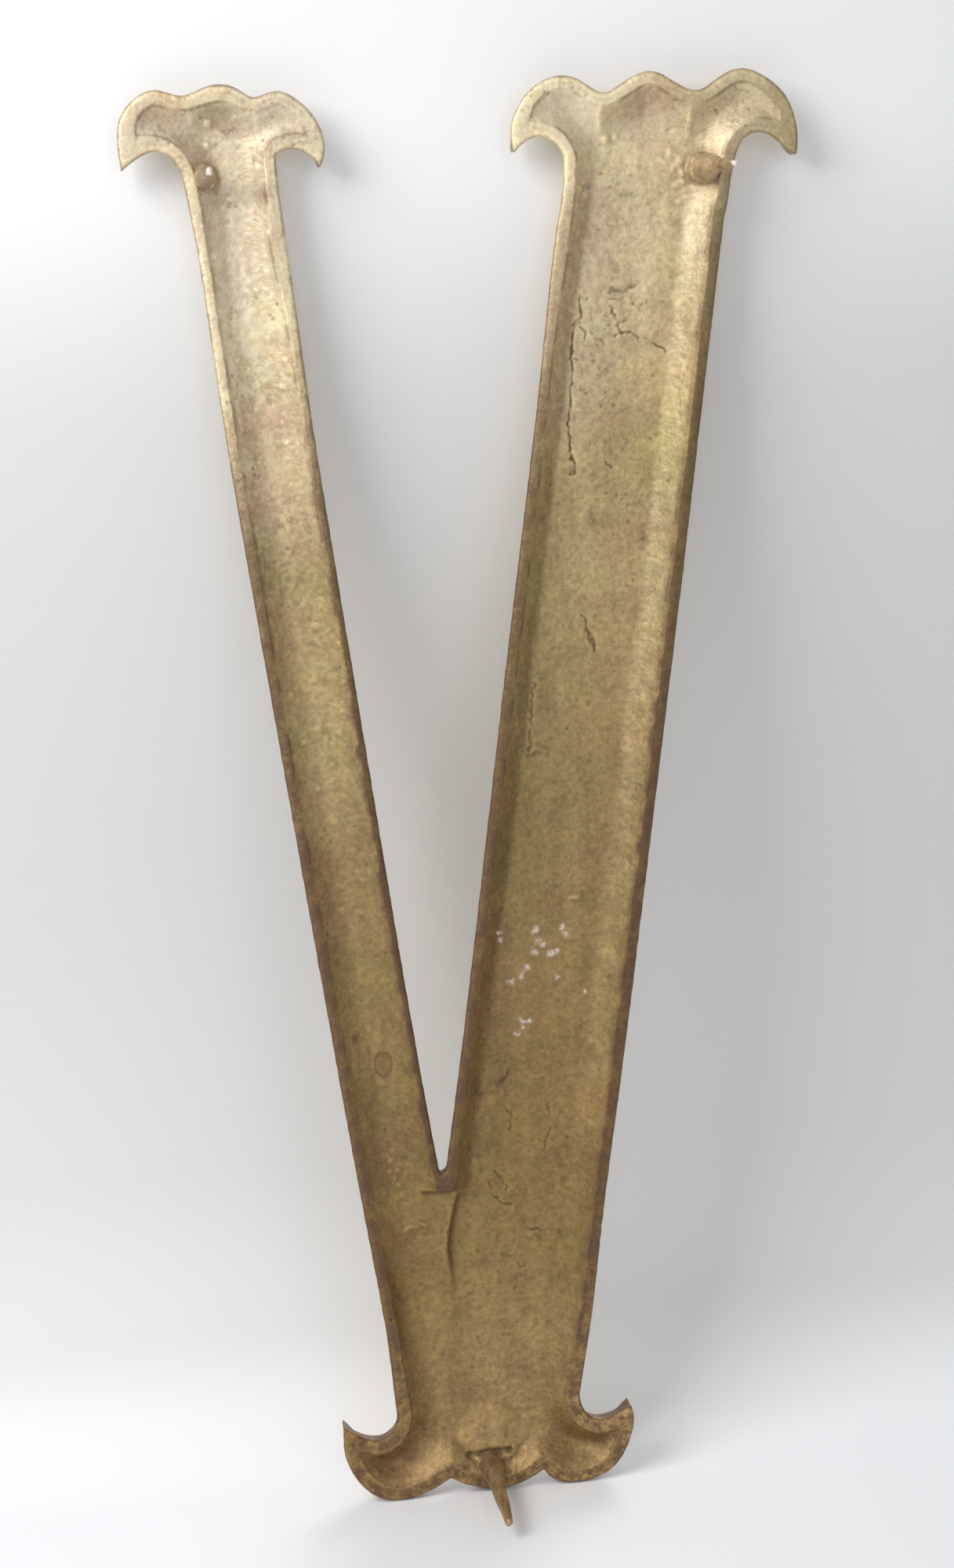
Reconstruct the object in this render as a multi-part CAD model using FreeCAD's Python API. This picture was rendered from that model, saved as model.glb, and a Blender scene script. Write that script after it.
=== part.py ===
"""Hollow-backed cast sign letter with three fixing spikes.

Frame: millimetres, +Z up the letter, +X to the right as its back is seen, +Y towards the
reading face. The back rim lies in the plane y = 0 and the spikes point along -Y. The origin
is the foot spike's axis in the plane of the back rim.
"""
import FreeCAD, Part
import math
import os
from FreeCAD import Vector

# ---- casting ----
CASTING_DEPTH = 15.0        # back rim to reading face
FACE_INSET = 2.0            # the sides draw in by this much towards the reading face
RIM_THIN = 4.2              # flat rim beside the thin channel
RIM_THICK = 4.8             # flat rim beside the thick channel
CHANNEL_DEPTH = 10.0        # back rim to channel floor
WALL_RUN_THIN = 8.0         # width of the thin channel's sloping walls
WALL_RUN_THICK = 6.0        # width of the thick channel's sloping walls
DIVIDER_DROP = 7.5          # how far the divider lies below the rim under the crotch
DIVIDER_TOP = 142.5         # height of the web's edge under the crotch
DIVIDER_FOOT = 96.0         # height where the divider has run out
CHANNEL_TOP = 586.0         # height where the channels end in the heads
CHANNEL_FOOT = 100.0        # height where the two channels have run together
FOOT_FLOOR = 22.0           # lower end of the foot's hollow

# ---- fixing spikes ----
FOOT_SPIKE_UP = 13.0        # foot spike's axis above the lowest lobe
SPIKE_REACH = 50.0          # tip of a spike behind the back rim
SPIKE_TIP_R = 1.6
BOSS_TOP = 1.0              # boss faces lie this far below the back rim
SHANK_LENGTH = BOSS_TOP + SPIKE_REACH - SPIKE_TIP_R    # the taper, from boss face to round tip
SOCKET_DEPTH = 7.0
BOSS_FLARE = 1.25           # a boss is this much wider at its foot
COLLAR_MARGIN = 0.6         # a collar starts this far inside its boss
COLLAR_LIP = 0.3            # thickness left at a collar's outer end

# name, across, up from the base line, root radius, boss radius, length of the collar
SPIKES = (
    ("thin_stroke", -92.4, 574.2, 3.4, 4.6, 14.0),
    ("thick_stroke", 110.6, 570.0, 4.2, 6.2, 15.0),
    ("foot", 0.0, FOOT_SPIKE_UP, 4.1, 5.6, 12.0),
)

# ---- outline of the back rim ----
# (across, up) from the foot spike's axis and the base line, clockwise from the thin stroke's
# outer horn. Each stretch is one smooth curve, and the stretches meet at corners.
THIN_HEAD_TOP = [
    (-125.9, 577.6), (-126.9, 588.0), (-124.6, 599.3), (-118.3, 606.0), (-109.5, 608.6),
    (-99.8, 606.2), (-92.0, 608.9), (-84.0, 610.0), (-77.6, 608.0), (-72.2, 604.7),
    (-63.5, 606.7), (-54.5, 603.3), (-48.0, 596.5), (-44.2, 585.5), (-46.7, 576.1)]
THIN_HEAD_INNER_CURL = [(-46.7, 576.1), (-50.6, 580.8), (-57.0, 583.7), (-64.0, 582.0)]
THIN_STROKE_INNER = [
    (-64.0, 582.0), (-63.2, 565.0), (-61.7, 550.0), (-57.3, 500.0), (-46.7, 400.0),
    (-35.4, 300.0), (-23.6, 200.0), (-17.3, 153.0)]
CROTCH = [(-17.3, 153.0), (-15.9, 151.3), (-14.5, 153.0)]
THICK_STROKE_INNER = [
    (-14.5, 153.0), (-6.4, 200.0), (9.4, 300.0), (25.1, 400.0), (40.9, 500.0),
    (48.7, 550.0), (51.6, 565.0), (52.2, 575.0)]
THICK_HEAD_INNER_CURL = [
    (52.2, 575.0), (49.8, 581.3), (43.3, 585.2), (37.0, 583.2), (32.4, 579.2)]
THICK_HEAD_TOP = [
    (32.4, 579.2), (30.8, 587.0), (33.4, 596.0), (40.3, 604.6), (51.0, 609.1),
    (60.5, 607.0), (69.5, 602.0), (79.0, 606.4), (90.0, 609.7), (99.5, 605.2),
    (108.3, 601.8), (116.5, 605.8), (126.5, 609.8), (137.5, 605.8), (145.5, 598.0),
    (149.4, 588.0), (149.4, 574.3)]
THICK_HEAD_OUTER_CURL = [
    (149.4, 574.3), (143.5, 578.2), (136.8, 583.2), (131.0, 583.6), (126.8, 580.8),
    (123.8, 574.5), (121.3, 563.0), (118.7, 550.0)]
THICK_STROKE_OUTER = [
    (118.7, 550.0), (111.3, 500.0), (96.8, 400.0), (81.5, 300.0), (66.2, 200.0),
    (51.2, 105.0), (46.8, 75.0), (43.0, 56.0), (41.1, 46.0)]
FOOT_CURL_RIGHT = [
    (41.1, 46.0), (41.4, 38.5), (44.6, 33.4), (50.5, 31.2), (56.5, 32.6), (63.6, 36.0)]
FOOT_RIGHT_LOBE = [
    (63.6, 36.0), (64.7, 29.0), (63.0, 21.0), (59.0, 12.5), (53.0, 6.0), (45.0, 3.0),
    (36.0, 2.2), (28.5, 4.2), (23.2, 9.6)]
FOOT_MIDDLE_LOBE = [(23.2, 9.6), (14.0, 4.9), (2.0, 3.0), (-9.5, 5.4), (-18.5, 10.0)]
FOOT_LEFT_LOBE = [
    (-18.5, 10.0), (-27.5, 5.0), (-39.5, 2.0), (-50.0, 3.9), (-58.0, 10.6),
    (-63.3, 20.0), (-65.2, 30.0), (-64.4, 38.6)]
FOOT_CURL_LEFT = [
    (-64.4, 38.6), (-59.5, 35.3), (-54.0, 32.4), (-49.0, 31.4), (-44.6, 33.4),
    (-41.7, 38.5), (-41.5, 46.0)]
THIN_STROKE_OUTER = [
    (-41.5, 46.0), (-42.3, 60.0), (-43.9, 80.0), (-47.0, 105.0), (-59.1, 200.0),
    (-71.0, 300.0), (-82.9, 400.0), (-93.6, 500.0), (-98.4, 550.0), (-100.6, 565.0),
    (-101.9, 573.5)]
THIN_HEAD_OUTER_CURL = [
    (-101.9, 573.5), (-103.6, 578.8), (-107.5, 583.0), (-112.3, 584.6), (-118.0, 582.7),
    (-125.9, 577.6)]
OUTLINE = (
    THIN_HEAD_TOP, THIN_HEAD_INNER_CURL, THIN_STROKE_INNER, CROTCH, THICK_STROKE_INNER,
    THICK_HEAD_INNER_CURL, THICK_HEAD_TOP, THICK_HEAD_OUTER_CURL, THICK_STROKE_OUTER,
    FOOT_CURL_RIGHT, FOOT_RIGHT_LOBE, FOOT_MIDDLE_LOBE, FOOT_LEFT_LOBE, FOOT_CURL_LEFT,
    THIN_STROKE_OUTER, THIN_HEAD_OUTER_CURL)

# ---- scooped hollows of the lobes: across, up, radius at the rim plane, depth ----
SCOOPS = (
    (-113.0, 596.3, 6.5, 6.0), (-101.5, 594.0, 8.0, 7.0), (-85.0, 594.5, 11.5, 9.0),
    (-68.5, 593.5, 8.0, 7.0), (-57.5, 593.5, 5.0, 5.0),
    (44.5, 596.0, 6.0, 6.0), (54.0, 593.5, 11.0, 8.0), (89.0, 588.0, 17.0, 9.0),
    (121.5, 594.5, 10.0, 8.0), (137.5, 593.0, 5.5, 5.5),
    (-52.5, 19.5, 7.0, 6.5), (-37.0, 17.5, 11.5, 8.0), (1.0, 18.8, 11.6, 8.5),
    (37.0, 17.0, 11.0, 8.0), (51.5, 19.5, 7.5, 6.5))


def place(across, up, y):
    """A point of the drawing, with the origin moved to the foot spike's axis."""
    return Vector(across, y, up - FOOT_SPIKE_UP)


def inset_outline(distance):
    """The outline's stretches, each point moved inwards, with the horns' tips kept blunt."""
    ring = [point for stretch in OUTLINE for point in stretch[:-1]]
    moved = {}
    for index, point in enumerate(ring):
        before = ring[index - 1]
        after = ring[(index + 1) % len(ring)]
        into = (point[0] - before[0], point[1] - before[1])
        out = (after[0] - point[0], after[1] - point[1])
        into_length = math.hypot(*into)
        out_length = math.hypot(*out)
        across = into[0] / into_length + out[0] / out_length
        up = into[1] / into_length + out[1] / out_length
        length = math.hypot(across, up)
        moved[point] = (point[0] + distance * up / length, point[1] - distance * across / length)
    return [[moved[point] for point in stretch] for stretch in OUTLINE]


def outline_wire(distance, y):
    """The outline drawn in by a distance, at one depth, as a closed wire of smooth curves."""
    edges = []
    for stretch in inset_outline(distance):
        curve = Part.BSplineCurve()
        curve.interpolate([place(across, up, y) for across, up in stretch])
        edges.append(curve.toShape())
    return Part.Wire(edges)


def polygon_wire(corners, y):
    points = [place(across, up, y) for across, up in corners]
    return Part.makePolygon(points + points[:1])


def trough(top, foot, left, right, depth, end_run):
    """A four-sided hollow with sloping walls.

    top and foot are (up, left edge of the letter, right edge). left and right are
    (rim width, wall run) on each side.
    """
    rim = [
        (top[1] + left[0], top[0]), (top[2] - right[0], top[0]),
        (foot[2] - right[0], foot[0]), (foot[1] + left[0], foot[0])]
    floor = [
        (rim[0][0] + left[1], rim[0][1] - end_run), (rim[1][0] - right[1], rim[1][1] - end_run),
        (rim[2][0] - right[1], rim[2][1] + end_run), (rim[3][0] + left[1], rim[3][1] + end_run)]
    return Part.makeLoft([polygon_wire(rim, 0.0), polygon_wire(floor, depth)], True, True)


def scoop(across, up, radius, depth):
    """A ball that cuts a dish of this radius and depth in the plane of the rim."""
    ball_radius = (radius ** 2 + depth ** 2) / (2.0 * depth)
    return Part.makeSphere(ball_radius, place(across, up, depth - ball_radius))


def boss(across, up, radius):
    """A stub that rises from the floor of the hollow to just below the rim."""
    foot_y = (CHANNEL_DEPTH + CASTING_DEPTH) / 2.0
    return Part.makeCone(
        radius * BOSS_FLARE, radius, foot_y - BOSS_TOP, place(across, up, foot_y),
        Vector(0, -1, 0))


def make_casting():
    body = Part.makeLoft(
        [outline_wire(0.0, 0.0), outline_wire(FACE_INSET, CASTING_DEPTH)], True, True)
    thin_side = (RIM_THIN, WALL_RUN_THIN)
    thick_side = (RIM_THICK, WALL_RUN_THICK)
    channel_end_run = 2.0
    thin_channel = trough(
        (CHANNEL_TOP, -102.6, -64.0), (CHANNEL_FOOT, -47.4, -11.9),
        thin_side, thin_side, CHANNEL_DEPTH, channel_end_run)
    thick_channel = trough(
        (CHANNEL_TOP, 54.0, 124.0), (CHANNEL_FOOT, -22.4, 50.5),
        thick_side, thick_side, CHANNEL_DEPTH, channel_end_run)
    foot_hollow = trough(
        (CHANNEL_FOOT + 3.0 * channel_end_run, -47.1, 51.4), (FOOT_FLOOR, -38.0, 39.0),
        thin_side, thick_side, CHANNEL_DEPTH, channel_end_run)
    divider_drop = trough(
        (DIVIDER_TOP, -24.0, -7.0), (DIVIDER_FOOT, -22.0, -9.0),
        (0.0, 0.0), (0.0, 0.0), DIVIDER_DROP, 0.0)
    hollows = [thin_channel, thick_channel, foot_hollow, divider_drop]
    hollows += [scoop(*dish) for dish in SCOOPS]
    casting = body.cut(hollows)
    for name, across, up, root_radius, boss_radius, collar_length in SPIKES:
        stub = boss(across, up, boss_radius).common(body)
        casting = casting.fuse(stub)
    for name, across, up, root_radius, boss_radius, collar_length in SPIKES:
        socket = Part.makeCylinder(
            root_radius, SOCKET_DEPTH + BOSS_TOP, place(across, up, BOSS_TOP + SOCKET_DEPTH),
            Vector(0, -1, 0))
        casting = casting.cut(socket)
    return casting.removeSplitter()


def make_shank(across, up, root_radius):
    """The tapered length of a spike, from its boss to its rounded tip."""
    cone = Part.makeCone(
        root_radius, SPIKE_TIP_R, SHANK_LENGTH, place(across, up, BOSS_TOP), Vector(0, -1, 0))
    ball = Part.makeSphere(SPIKE_TIP_R, place(across, up, SPIKE_TIP_R - SPIKE_REACH))
    return cone.fuse(ball).removeSplitter()


def make_spike(across, up, root_radius):
    root = Part.makeCylinder(
        root_radius, SOCKET_DEPTH, place(across, up, BOSS_TOP + SOCKET_DEPTH), Vector(0, -1, 0))
    return make_shank(across, up, root_radius).fuse(root).removeSplitter()


def make_collar(across, up, root_radius, boss_radius, length):
    """A bead of spelter that runs from the boss face up onto the spike."""
    shank_radius = root_radius + (SPIKE_TIP_R - root_radius) * length / SHANK_LENGTH
    cone = Part.makeCone(
        boss_radius - COLLAR_MARGIN, shank_radius + COLLAR_LIP, length,
        place(across, up, BOSS_TOP), Vector(0, -1, 0))
    return cone.cut(make_shank(across, up, root_radius))


def save(name, shape):
    if not shape.isValid():
        raise ValueError(name + " is not a valid solid")
    shape.exportStep("parts/" + name + ".step")
    print(name, "solids", len(shape.Solids), "volume cm3 %.1f" % (shape.Volume / 1000.0))


def main():
    os.makedirs("parts", exist_ok=True)
    save("letter_casting", make_casting())
    for name, across, up, root_radius, boss_radius, collar_length in SPIKES:
        save("spike_" + name, make_spike(across, up, root_radius))
        save("braze_collar_" + name, make_collar(
            across, up, root_radius, boss_radius, collar_length))


main()
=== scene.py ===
"""Looks of a hollow-backed cast brass sign letter with three fixing spikes.

The shape is worked out in millimetres in the letter's drawing: "across" to the right as the
hollow back is seen, "up" from the base line under the foot's lobes, and depth behind the
plane of the back rim. mesh_points() turns that into metres in the shared frame.
"""
import math

import bmesh
import bpy
import numpy as np
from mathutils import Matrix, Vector
from mathutils.geometry import delaunay_2d_cdt


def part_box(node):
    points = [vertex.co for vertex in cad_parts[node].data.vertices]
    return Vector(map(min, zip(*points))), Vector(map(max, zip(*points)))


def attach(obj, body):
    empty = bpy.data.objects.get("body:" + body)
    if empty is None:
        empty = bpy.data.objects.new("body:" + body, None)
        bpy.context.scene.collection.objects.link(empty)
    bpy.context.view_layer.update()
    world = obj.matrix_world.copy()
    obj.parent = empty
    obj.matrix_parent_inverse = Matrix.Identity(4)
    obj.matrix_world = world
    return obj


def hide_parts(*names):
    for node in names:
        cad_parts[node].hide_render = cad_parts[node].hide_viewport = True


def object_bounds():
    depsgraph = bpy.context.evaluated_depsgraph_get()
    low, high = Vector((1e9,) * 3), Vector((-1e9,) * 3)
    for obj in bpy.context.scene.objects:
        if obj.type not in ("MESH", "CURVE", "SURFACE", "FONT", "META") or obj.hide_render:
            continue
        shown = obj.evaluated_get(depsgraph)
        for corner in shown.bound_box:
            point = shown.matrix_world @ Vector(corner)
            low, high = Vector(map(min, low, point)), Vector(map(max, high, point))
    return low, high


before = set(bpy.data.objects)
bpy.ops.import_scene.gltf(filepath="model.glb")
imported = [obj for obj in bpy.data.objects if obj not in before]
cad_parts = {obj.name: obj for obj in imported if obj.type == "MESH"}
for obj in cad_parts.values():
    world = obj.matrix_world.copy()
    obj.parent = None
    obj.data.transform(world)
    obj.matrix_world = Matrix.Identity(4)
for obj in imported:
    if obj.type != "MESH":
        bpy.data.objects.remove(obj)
cad_low, cad_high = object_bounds()

MM = 0.001
CASTING = "letter_casting"
FOOT_SPIKE_UP = 13.0            # the shared origin above the base line

# ---- mesh sizes ----
RING_STEP = 0.9                 # spacing of points along the outline
BACK_STEP = 0.95                # spacing of points over the hollow back
FINE_STEP = 0.48                # spacing beside cracks and along the rim's inner edge
FACE_STEP = 1.7                 # spacing of points over the reading face
SIDE_ROWS = 8
SOFTENING = 15                  # how many times the lobes' hollows are rounded

# ---- section of the casting ----
CASTING_DEPTH = (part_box(CASTING)[1].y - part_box(CASTING)[0].y) / MM
SIDE_DEPTH = 10.5               # the plain side, before the reading face bevels away
SIDE_DRAFT = 1.9                # the sides draw in by this much
EDGE_ROUND = 0.8
THIN_RIM = 3.8
THICK_RIM_INNER = 3.9
THICK_RIM_OUTER = 5.1
HEAD_RIM = 4.7
FOOT_RIM = 6.0
THIN_RUN = 12.0                 # the thin channel is a round trough
THICK_RUN = 9.0
OUTER_RUN = 12.0                # the thick stroke's outer wall slopes more gently
HEAD_RUN = 10.0                 # the lobes are scooped like shells
FOOT_RUN = 11.0
THIN_DEPTH = 6.6
THICK_DEPTH = 8.2
THICK_DISH = 2.8                # the thick floor is dished by this much more
HEAD_DEPTH = 7.8
WEB_UP = 142.5                  # edge of the web under the crotch
SHELF_DEPTH = 6.9               # the shelf under the web, between the two channels
SHELF_EDGE = ((-8.6, 143.0), (-11.2, 132.0), (-13.8, 122.0), (-14.6, 113.0), (-13.6, 104.0))

# ---- stage, lights and camera, in metres and degrees ----
PAPER_GAP = 0.0025              # behind the reading face, where the sweep comes closest
SWEEP_SET_BACK = 0.09           # how much further back the sweep stands low down
SWEEP_BEND = 0.11               # the sweep stands upright above this height
SWEEP_CLOSE = 0.56              # and has come close to the letter at this one
SWEEP_TOP = 1.8
SWEEP_HALF_WIDTH = 0.7
FLOOR_REACH = 4.0
SOFTBOXES = (                   # name, place, what it points at, side, power
    ("key_softbox", (-0.90, -0.66, 1.08), (0.0, 0.0, 0.33), 0.80, 14.0),
    ("front_softbox", (0.1, -2.2, 0.8), (0.0, 0.0, 0.3), 1.4, 9.0),
    ("rear_softbox", (0.9, 1.6, 1.3), (0.0, 0.0, 0.3), 1.0, 16.0))
SKY_COLOUR = (0.86, 0.89, 0.94, 1.0)
SKY_STRENGTH = 0.52
CAMERA_PLACE = (-0.1380, -1.0924, 0.5188)
CAMERA_TURN = (79.17, 2.377, -7.967)
LENS = 61.2
SENSOR_WIDTH = 36.0

rng = np.random.default_rng(41)


# ------------------------------------------------------------------ numbers and noise
def smooth(low, high, value):
    """0 below low, 1 above high, and an even curve between them."""
    t = np.clip((value - low) / (high - low), 0.0, 1.0)
    return t * t * (3.0 - 2.0 * t)


def bump(across, up, at, reach, stretch=1.0):
    """A round hump of height 1 at a point. stretch makes it longer upwards."""
    gone = ((across - at[0]) ** 2 + ((up - at[1]) / stretch) ** 2) / reach ** 2
    return np.exp(-gone)


class Grain:
    """Smooth random waves of one size over the plane, the same at each run."""

    def __init__(self, seed, size):
        self.size = size
        self.table = np.random.default_rng(seed).uniform(-1.0, 1.0, (256, 256))

    def __call__(self, across, up):
        x = np.asarray(across) / self.size + 1000.3
        y = np.asarray(up) / self.size + 1000.7
        column = np.floor(x).astype(int)
        row = np.floor(y).astype(int)
        fx = x - column
        fy = y - row
        fx = fx * fx * (3.0 - 2.0 * fx)
        fy = fy * fy * (3.0 - 2.0 * fy)
        near = self.table[row % 256, column % 256]
        right = self.table[row % 256, (column + 1) % 256]
        above = self.table[(row + 1) % 256, column % 256]
        far = self.table[(row + 1) % 256, (column + 1) % 256]
        low = near + (right - near) * fx
        high = above + (far - above) * fx
        return low + (high - low) * fy


def to_line(across, up, line):
    """Distance to a bent line, and how far along it the nearest point is, from 0 to 1."""
    best = np.full(np.shape(across), 1e9)
    along = np.zeros(np.shape(across))
    corners = np.array(line, float)
    lengths = np.hypot(*np.diff(corners, axis=0).T)
    total = lengths.sum()
    gone = 0.0
    for start, end, length in zip(corners[:-1], corners[1:], lengths):
        step = (end - start) / length
        t = np.clip((across - start[0]) * step[0] + (up - start[1]) * step[1], 0.0, length)
        away = np.hypot(across - start[0] - t * step[0], up - start[1] - t * step[1])
        closer = away < best
        best = np.where(closer, away, best)
        along = np.where(closer, (gone + t) / total, along)
        gone += length
    return best, along


# ------------------------------------------------------------------ outline from the frame
def rim_rings():
    """The closed edges of the flat back rim, as rings of (across, up), longest first."""
    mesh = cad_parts[CASTING].data
    flat = 1e-6
    uses = {}
    for face in mesh.polygons:
        corners = [mesh.vertices[i].co for i in face.vertices]
        if max(abs(c.y) for c in corners) > flat:
            continue
        keys = [(round(c.x / MM, 3), round(c.z / MM + FOOT_SPIKE_UP, 3)) for c in corners]
        for start, end in zip(keys, keys[1:] + keys[:1]):
            pair = (start, end) if start < end else (end, start)
            uses[pair] = uses.get(pair, 0) + 1
    next_to = {}
    for start, end in (pair for pair, count in uses.items() if count == 1):
        next_to.setdefault(start, []).append(end)
        next_to.setdefault(end, []).append(start)
    rings = []
    while next_to:
        here = next(iter(next_to))
        ring = []
        while here in next_to:
            ring.append(here)
            ways = next_to.pop(here)
            here = next((p for p in ways if p in next_to), None)
        rings.append(np.array(ring))
    rings.sort(key=lambda ring: -np.ptp(ring[:, 1]))
    return rings


def evenly(ring, step):
    """The same closed ring with points a step apart, anticlockwise."""
    closed = np.vstack([ring, ring[:1]])
    lengths = np.hypot(*np.diff(closed, axis=0).T)
    along = np.concatenate([[0.0], np.cumsum(lengths)])
    count = int(round(along[-1] / step))
    at = np.arange(count) * along[-1] / count
    even = np.column_stack([np.interp(at, along, closed[:, i]) for i in (0, 1)])
    area = np.sum(even[:, 0] * np.roll(even[:, 1], -1) - np.roll(even[:, 0], -1) * even[:, 1])
    return even if area > 0 else even[::-1]


def inward(ring, reach):
    """Unit normals that point into the letter."""
    along = np.roll(ring, -reach, axis=0) - np.roll(ring, reach, axis=0)
    length = np.hypot(along[:, 0], along[:, 1])[:, None]
    return np.column_stack([-along[:, 1], along[:, 0]]) / length


def horn_room(ring):
    """How far each point of the ring may move inwards without crossing at a sharp horn."""
    window = 4
    before = ring - np.roll(ring, window, axis=0)
    after = np.roll(ring, -window, axis=0) - ring
    turn = np.arctan2(
        before[:, 0] * after[:, 1] - before[:, 1] * after[:, 0],
        np.sum(before * after, axis=1))
    room = np.full(len(ring), 9.0)
    for tip in np.flatnonzero(turn > math.radians(60.0)):
        steps = np.abs(np.arange(len(ring)) - tip)
        steps = np.minimum(steps, len(ring) - steps)
        room = np.minimum(room, 0.12 + 0.30 * steps * RING_STEP)
    return room


def edge_distance(across, up, ring):
    """Distance from points to the ring. Points outside the letter aren't told apart."""
    chunk = 1500
    ring = ring.astype(np.float32)
    found = np.empty(len(across))
    after = np.roll(ring, -1, axis=0)
    before = np.roll(ring, 1, axis=0)
    for first in range(0, len(across), chunk):
        point = np.column_stack([across[first:first + chunk], up[first:first + chunk]])
        point = point.astype(np.float32)
        gap = (point[:, None, 0] - ring[None, :, 0]) ** 2
        gap += (point[:, None, 1] - ring[None, :, 1]) ** 2
        nearest = gap.argmin(axis=1)
        best = np.full(len(point), 1e9)
        for other in (after, before):
            start = ring[nearest]
            step = other[nearest] - start
            t = np.sum((point - start) * step, axis=1) / np.sum(step * step, axis=1)
            foot = start + np.clip(t, 0.0, 1.0)[:, None] * step
            best = np.minimum(best, np.hypot(*(point - foot).T))
        found[first:first + chunk] = best
    return found


def inside(across, up, ring):
    """True for points inside the ring, found by counting crossings to the right."""
    odd = np.zeros(len(across), bool)
    nxt = np.roll(ring, -1, axis=0)
    order = np.argsort(up)
    sorted_up = up[order]
    for (x0, y0), (x1, y1) in zip(ring, nxt):
        if y0 == y1:
            continue
        low, high = min(y0, y1), max(y0, y1)
        first, last = np.searchsorted(sorted_up, (low, high))
        rows = order[first:last]
        crossing = x0 + (up[rows] - y0) * (x1 - x0) / (y1 - y0)
        odd[rows] ^= across[rows] < crossing
    return odd


class Strokes:
    """The straight edges of the two strokes, read off the outline at many heights."""

    def __init__(self, ring):
        heights = np.arange(185.0, 545.0, 5.0)
        rows = []
        nxt = np.roll(ring, -1, axis=0)
        for height in heights:
            cut = (ring[:, 1] - height) * (nxt[:, 1] - height) < 0
            t = (height - ring[cut, 1]) / (nxt[cut, 1] - ring[cut, 1])
            rows.append(np.sort(ring[cut, 0] + t * (nxt[cut, 0] - ring[cut, 0])))
        rows = np.array(rows)
        self.fits = [np.polyfit(heights, rows[:, i], 2) for i in range(4)]

    def __call__(self, across, up):
        """Distances inwards from the four edges: thin outer, thin inner, thick inner, outer."""
        at = [np.polyval(fit, up) for fit in self.fits]
        slope = [np.cos(np.arctan(np.polyval(np.polyder(fit), up))) for fit in self.fits]
        return (
            (across - at[0]) * slope[0], (at[1] - across) * slope[1],
            (across - at[2]) * slope[2], (at[3] - across) * slope[3])


# ------------------------------------------------------------------ hollow back
RIDGES = (                      # from a notch between lobes into the head: line, height, width
    (((69.0, 602.0), (67.8, 594.0), (68.6, 581.0)), 0.66, 5.0),
    (((108.3, 601.8), (105.8, 594.0), (104.8, 584.0), (102.5, 577.0)), 0.62, 5.2),
    (((-99.8, 606.2), (-97.5, 598.0), (-95.0, 588.0)), 0.46, 4.4),
    (((-72.2, 604.7), (-71.6, 597.0), (-70.6, 586.0)), 0.56, 4.6),
    (((-18.5, 10.0), (-17.7, 19.0), (-17.4, 29.0)), 0.56, 4.6),
    (((23.2, 9.6), (21.9, 15.0), (21.2, 23.0)), 0.60, 4.2))
PADS = (                        # where the rim is wider: place, reach, extra width
    ((35.0, 587.0), 8.5, 2.2), ((147.0, 585.0), 9.0, 2.4), ((-122.0, 589.0), 10.0, 2.6),
    ((-50.0, 584.0), 8.0, 2.0), ((-85.5, 608.0), 9.0, 2.0), ((-107.0, 606.0), 9.0, 0.8))
HORNS = (                       # where the heads' hollows run shallow towards their curls
    (44.0, 594.0), (132.0, 594.0), (-113.0, 595.0), (-57.0, 594.0))
SCOOPS = (                      # deeper hearts of the lobes: place, reach, extra depth
    ((88.0, 592.0), 11.0, 1.4), ((-84.0, 598.0), 8.0, 0.8),
    ((-42.0, 19.0), 10.0, 1.6), ((42.0, 18.0), 10.0, 1.2))
SLOT = ((-9.0, 18.4), (-1.0, 18.9), (8.5, 18.6))     # a cold shut above the foot's spike
BOSS_TOP = 0.8                  # the stub's end below the rim
BOSSES = (                      # under each spike: place, flat radius, how steeply it falls away
    ((-93.2, 574.2), 3.7, 3.0), ((111.6, 570.6), 4.9, 3.2), ((0.0, FOOT_SPIKE_UP), 4.4, 2.0))

wide_waves = Grain(3, 34.0)
long_waves = Grain(4, 13.0)
mid_waves = Grain(5, 5.2)
sand_coarse = Grain(6, 2.3)
sand_fine = Grain(7, 1.25)
rim_wander = Grain(8, 6.0)
rim_chips = Grain(9, 2.1)


def rim_widths(across, up):
    """Width of the flat rim beside each edge: both thin edges, thick inner and outer, heads."""
    wander = 0.45 * rim_wander(across, up) + 0.16 * rim_chips(across, up)
    low = smooth(330.0, 200.0, up)
    pads = sum(extra * bump(across, up, place, reach) for place, reach, extra in PADS)
    return (
        THIN_RIM + 0.5 * smooth(470.0, 560.0, up) + wander,
        THIN_RIM - 0.9 * smooth(480.0, 400.0, up) + 2.0 * smooth(500.0, 560.0, up) + wander,
        THICK_RIM_INNER + 1.4 * smooth(500.0, 560.0, up) - 0.6 * low + wander,
        THICK_RIM_OUTER + 0.4 * low + wander,
        HEAD_RIM + 0.5 * wander + pads
        + (FOOT_RIM - HEAD_RIM) * smooth(76.0, 40.0, up))


def wall(distance, rim, run, power):
    """0 on the rim, 1 on the floor, with a straight wall that rounds into the floor."""
    t = np.clip((distance - rim) / run, 0.0, 1.0)
    return np.sin(t * math.pi / 2.0) ** power


def place_weights(up):
    """How far a height belongs to the heads, and to the foot, from 0 to 1."""
    return smooth(548.0, 574.0, up), smooth(76.0, 52.0, up)


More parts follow.
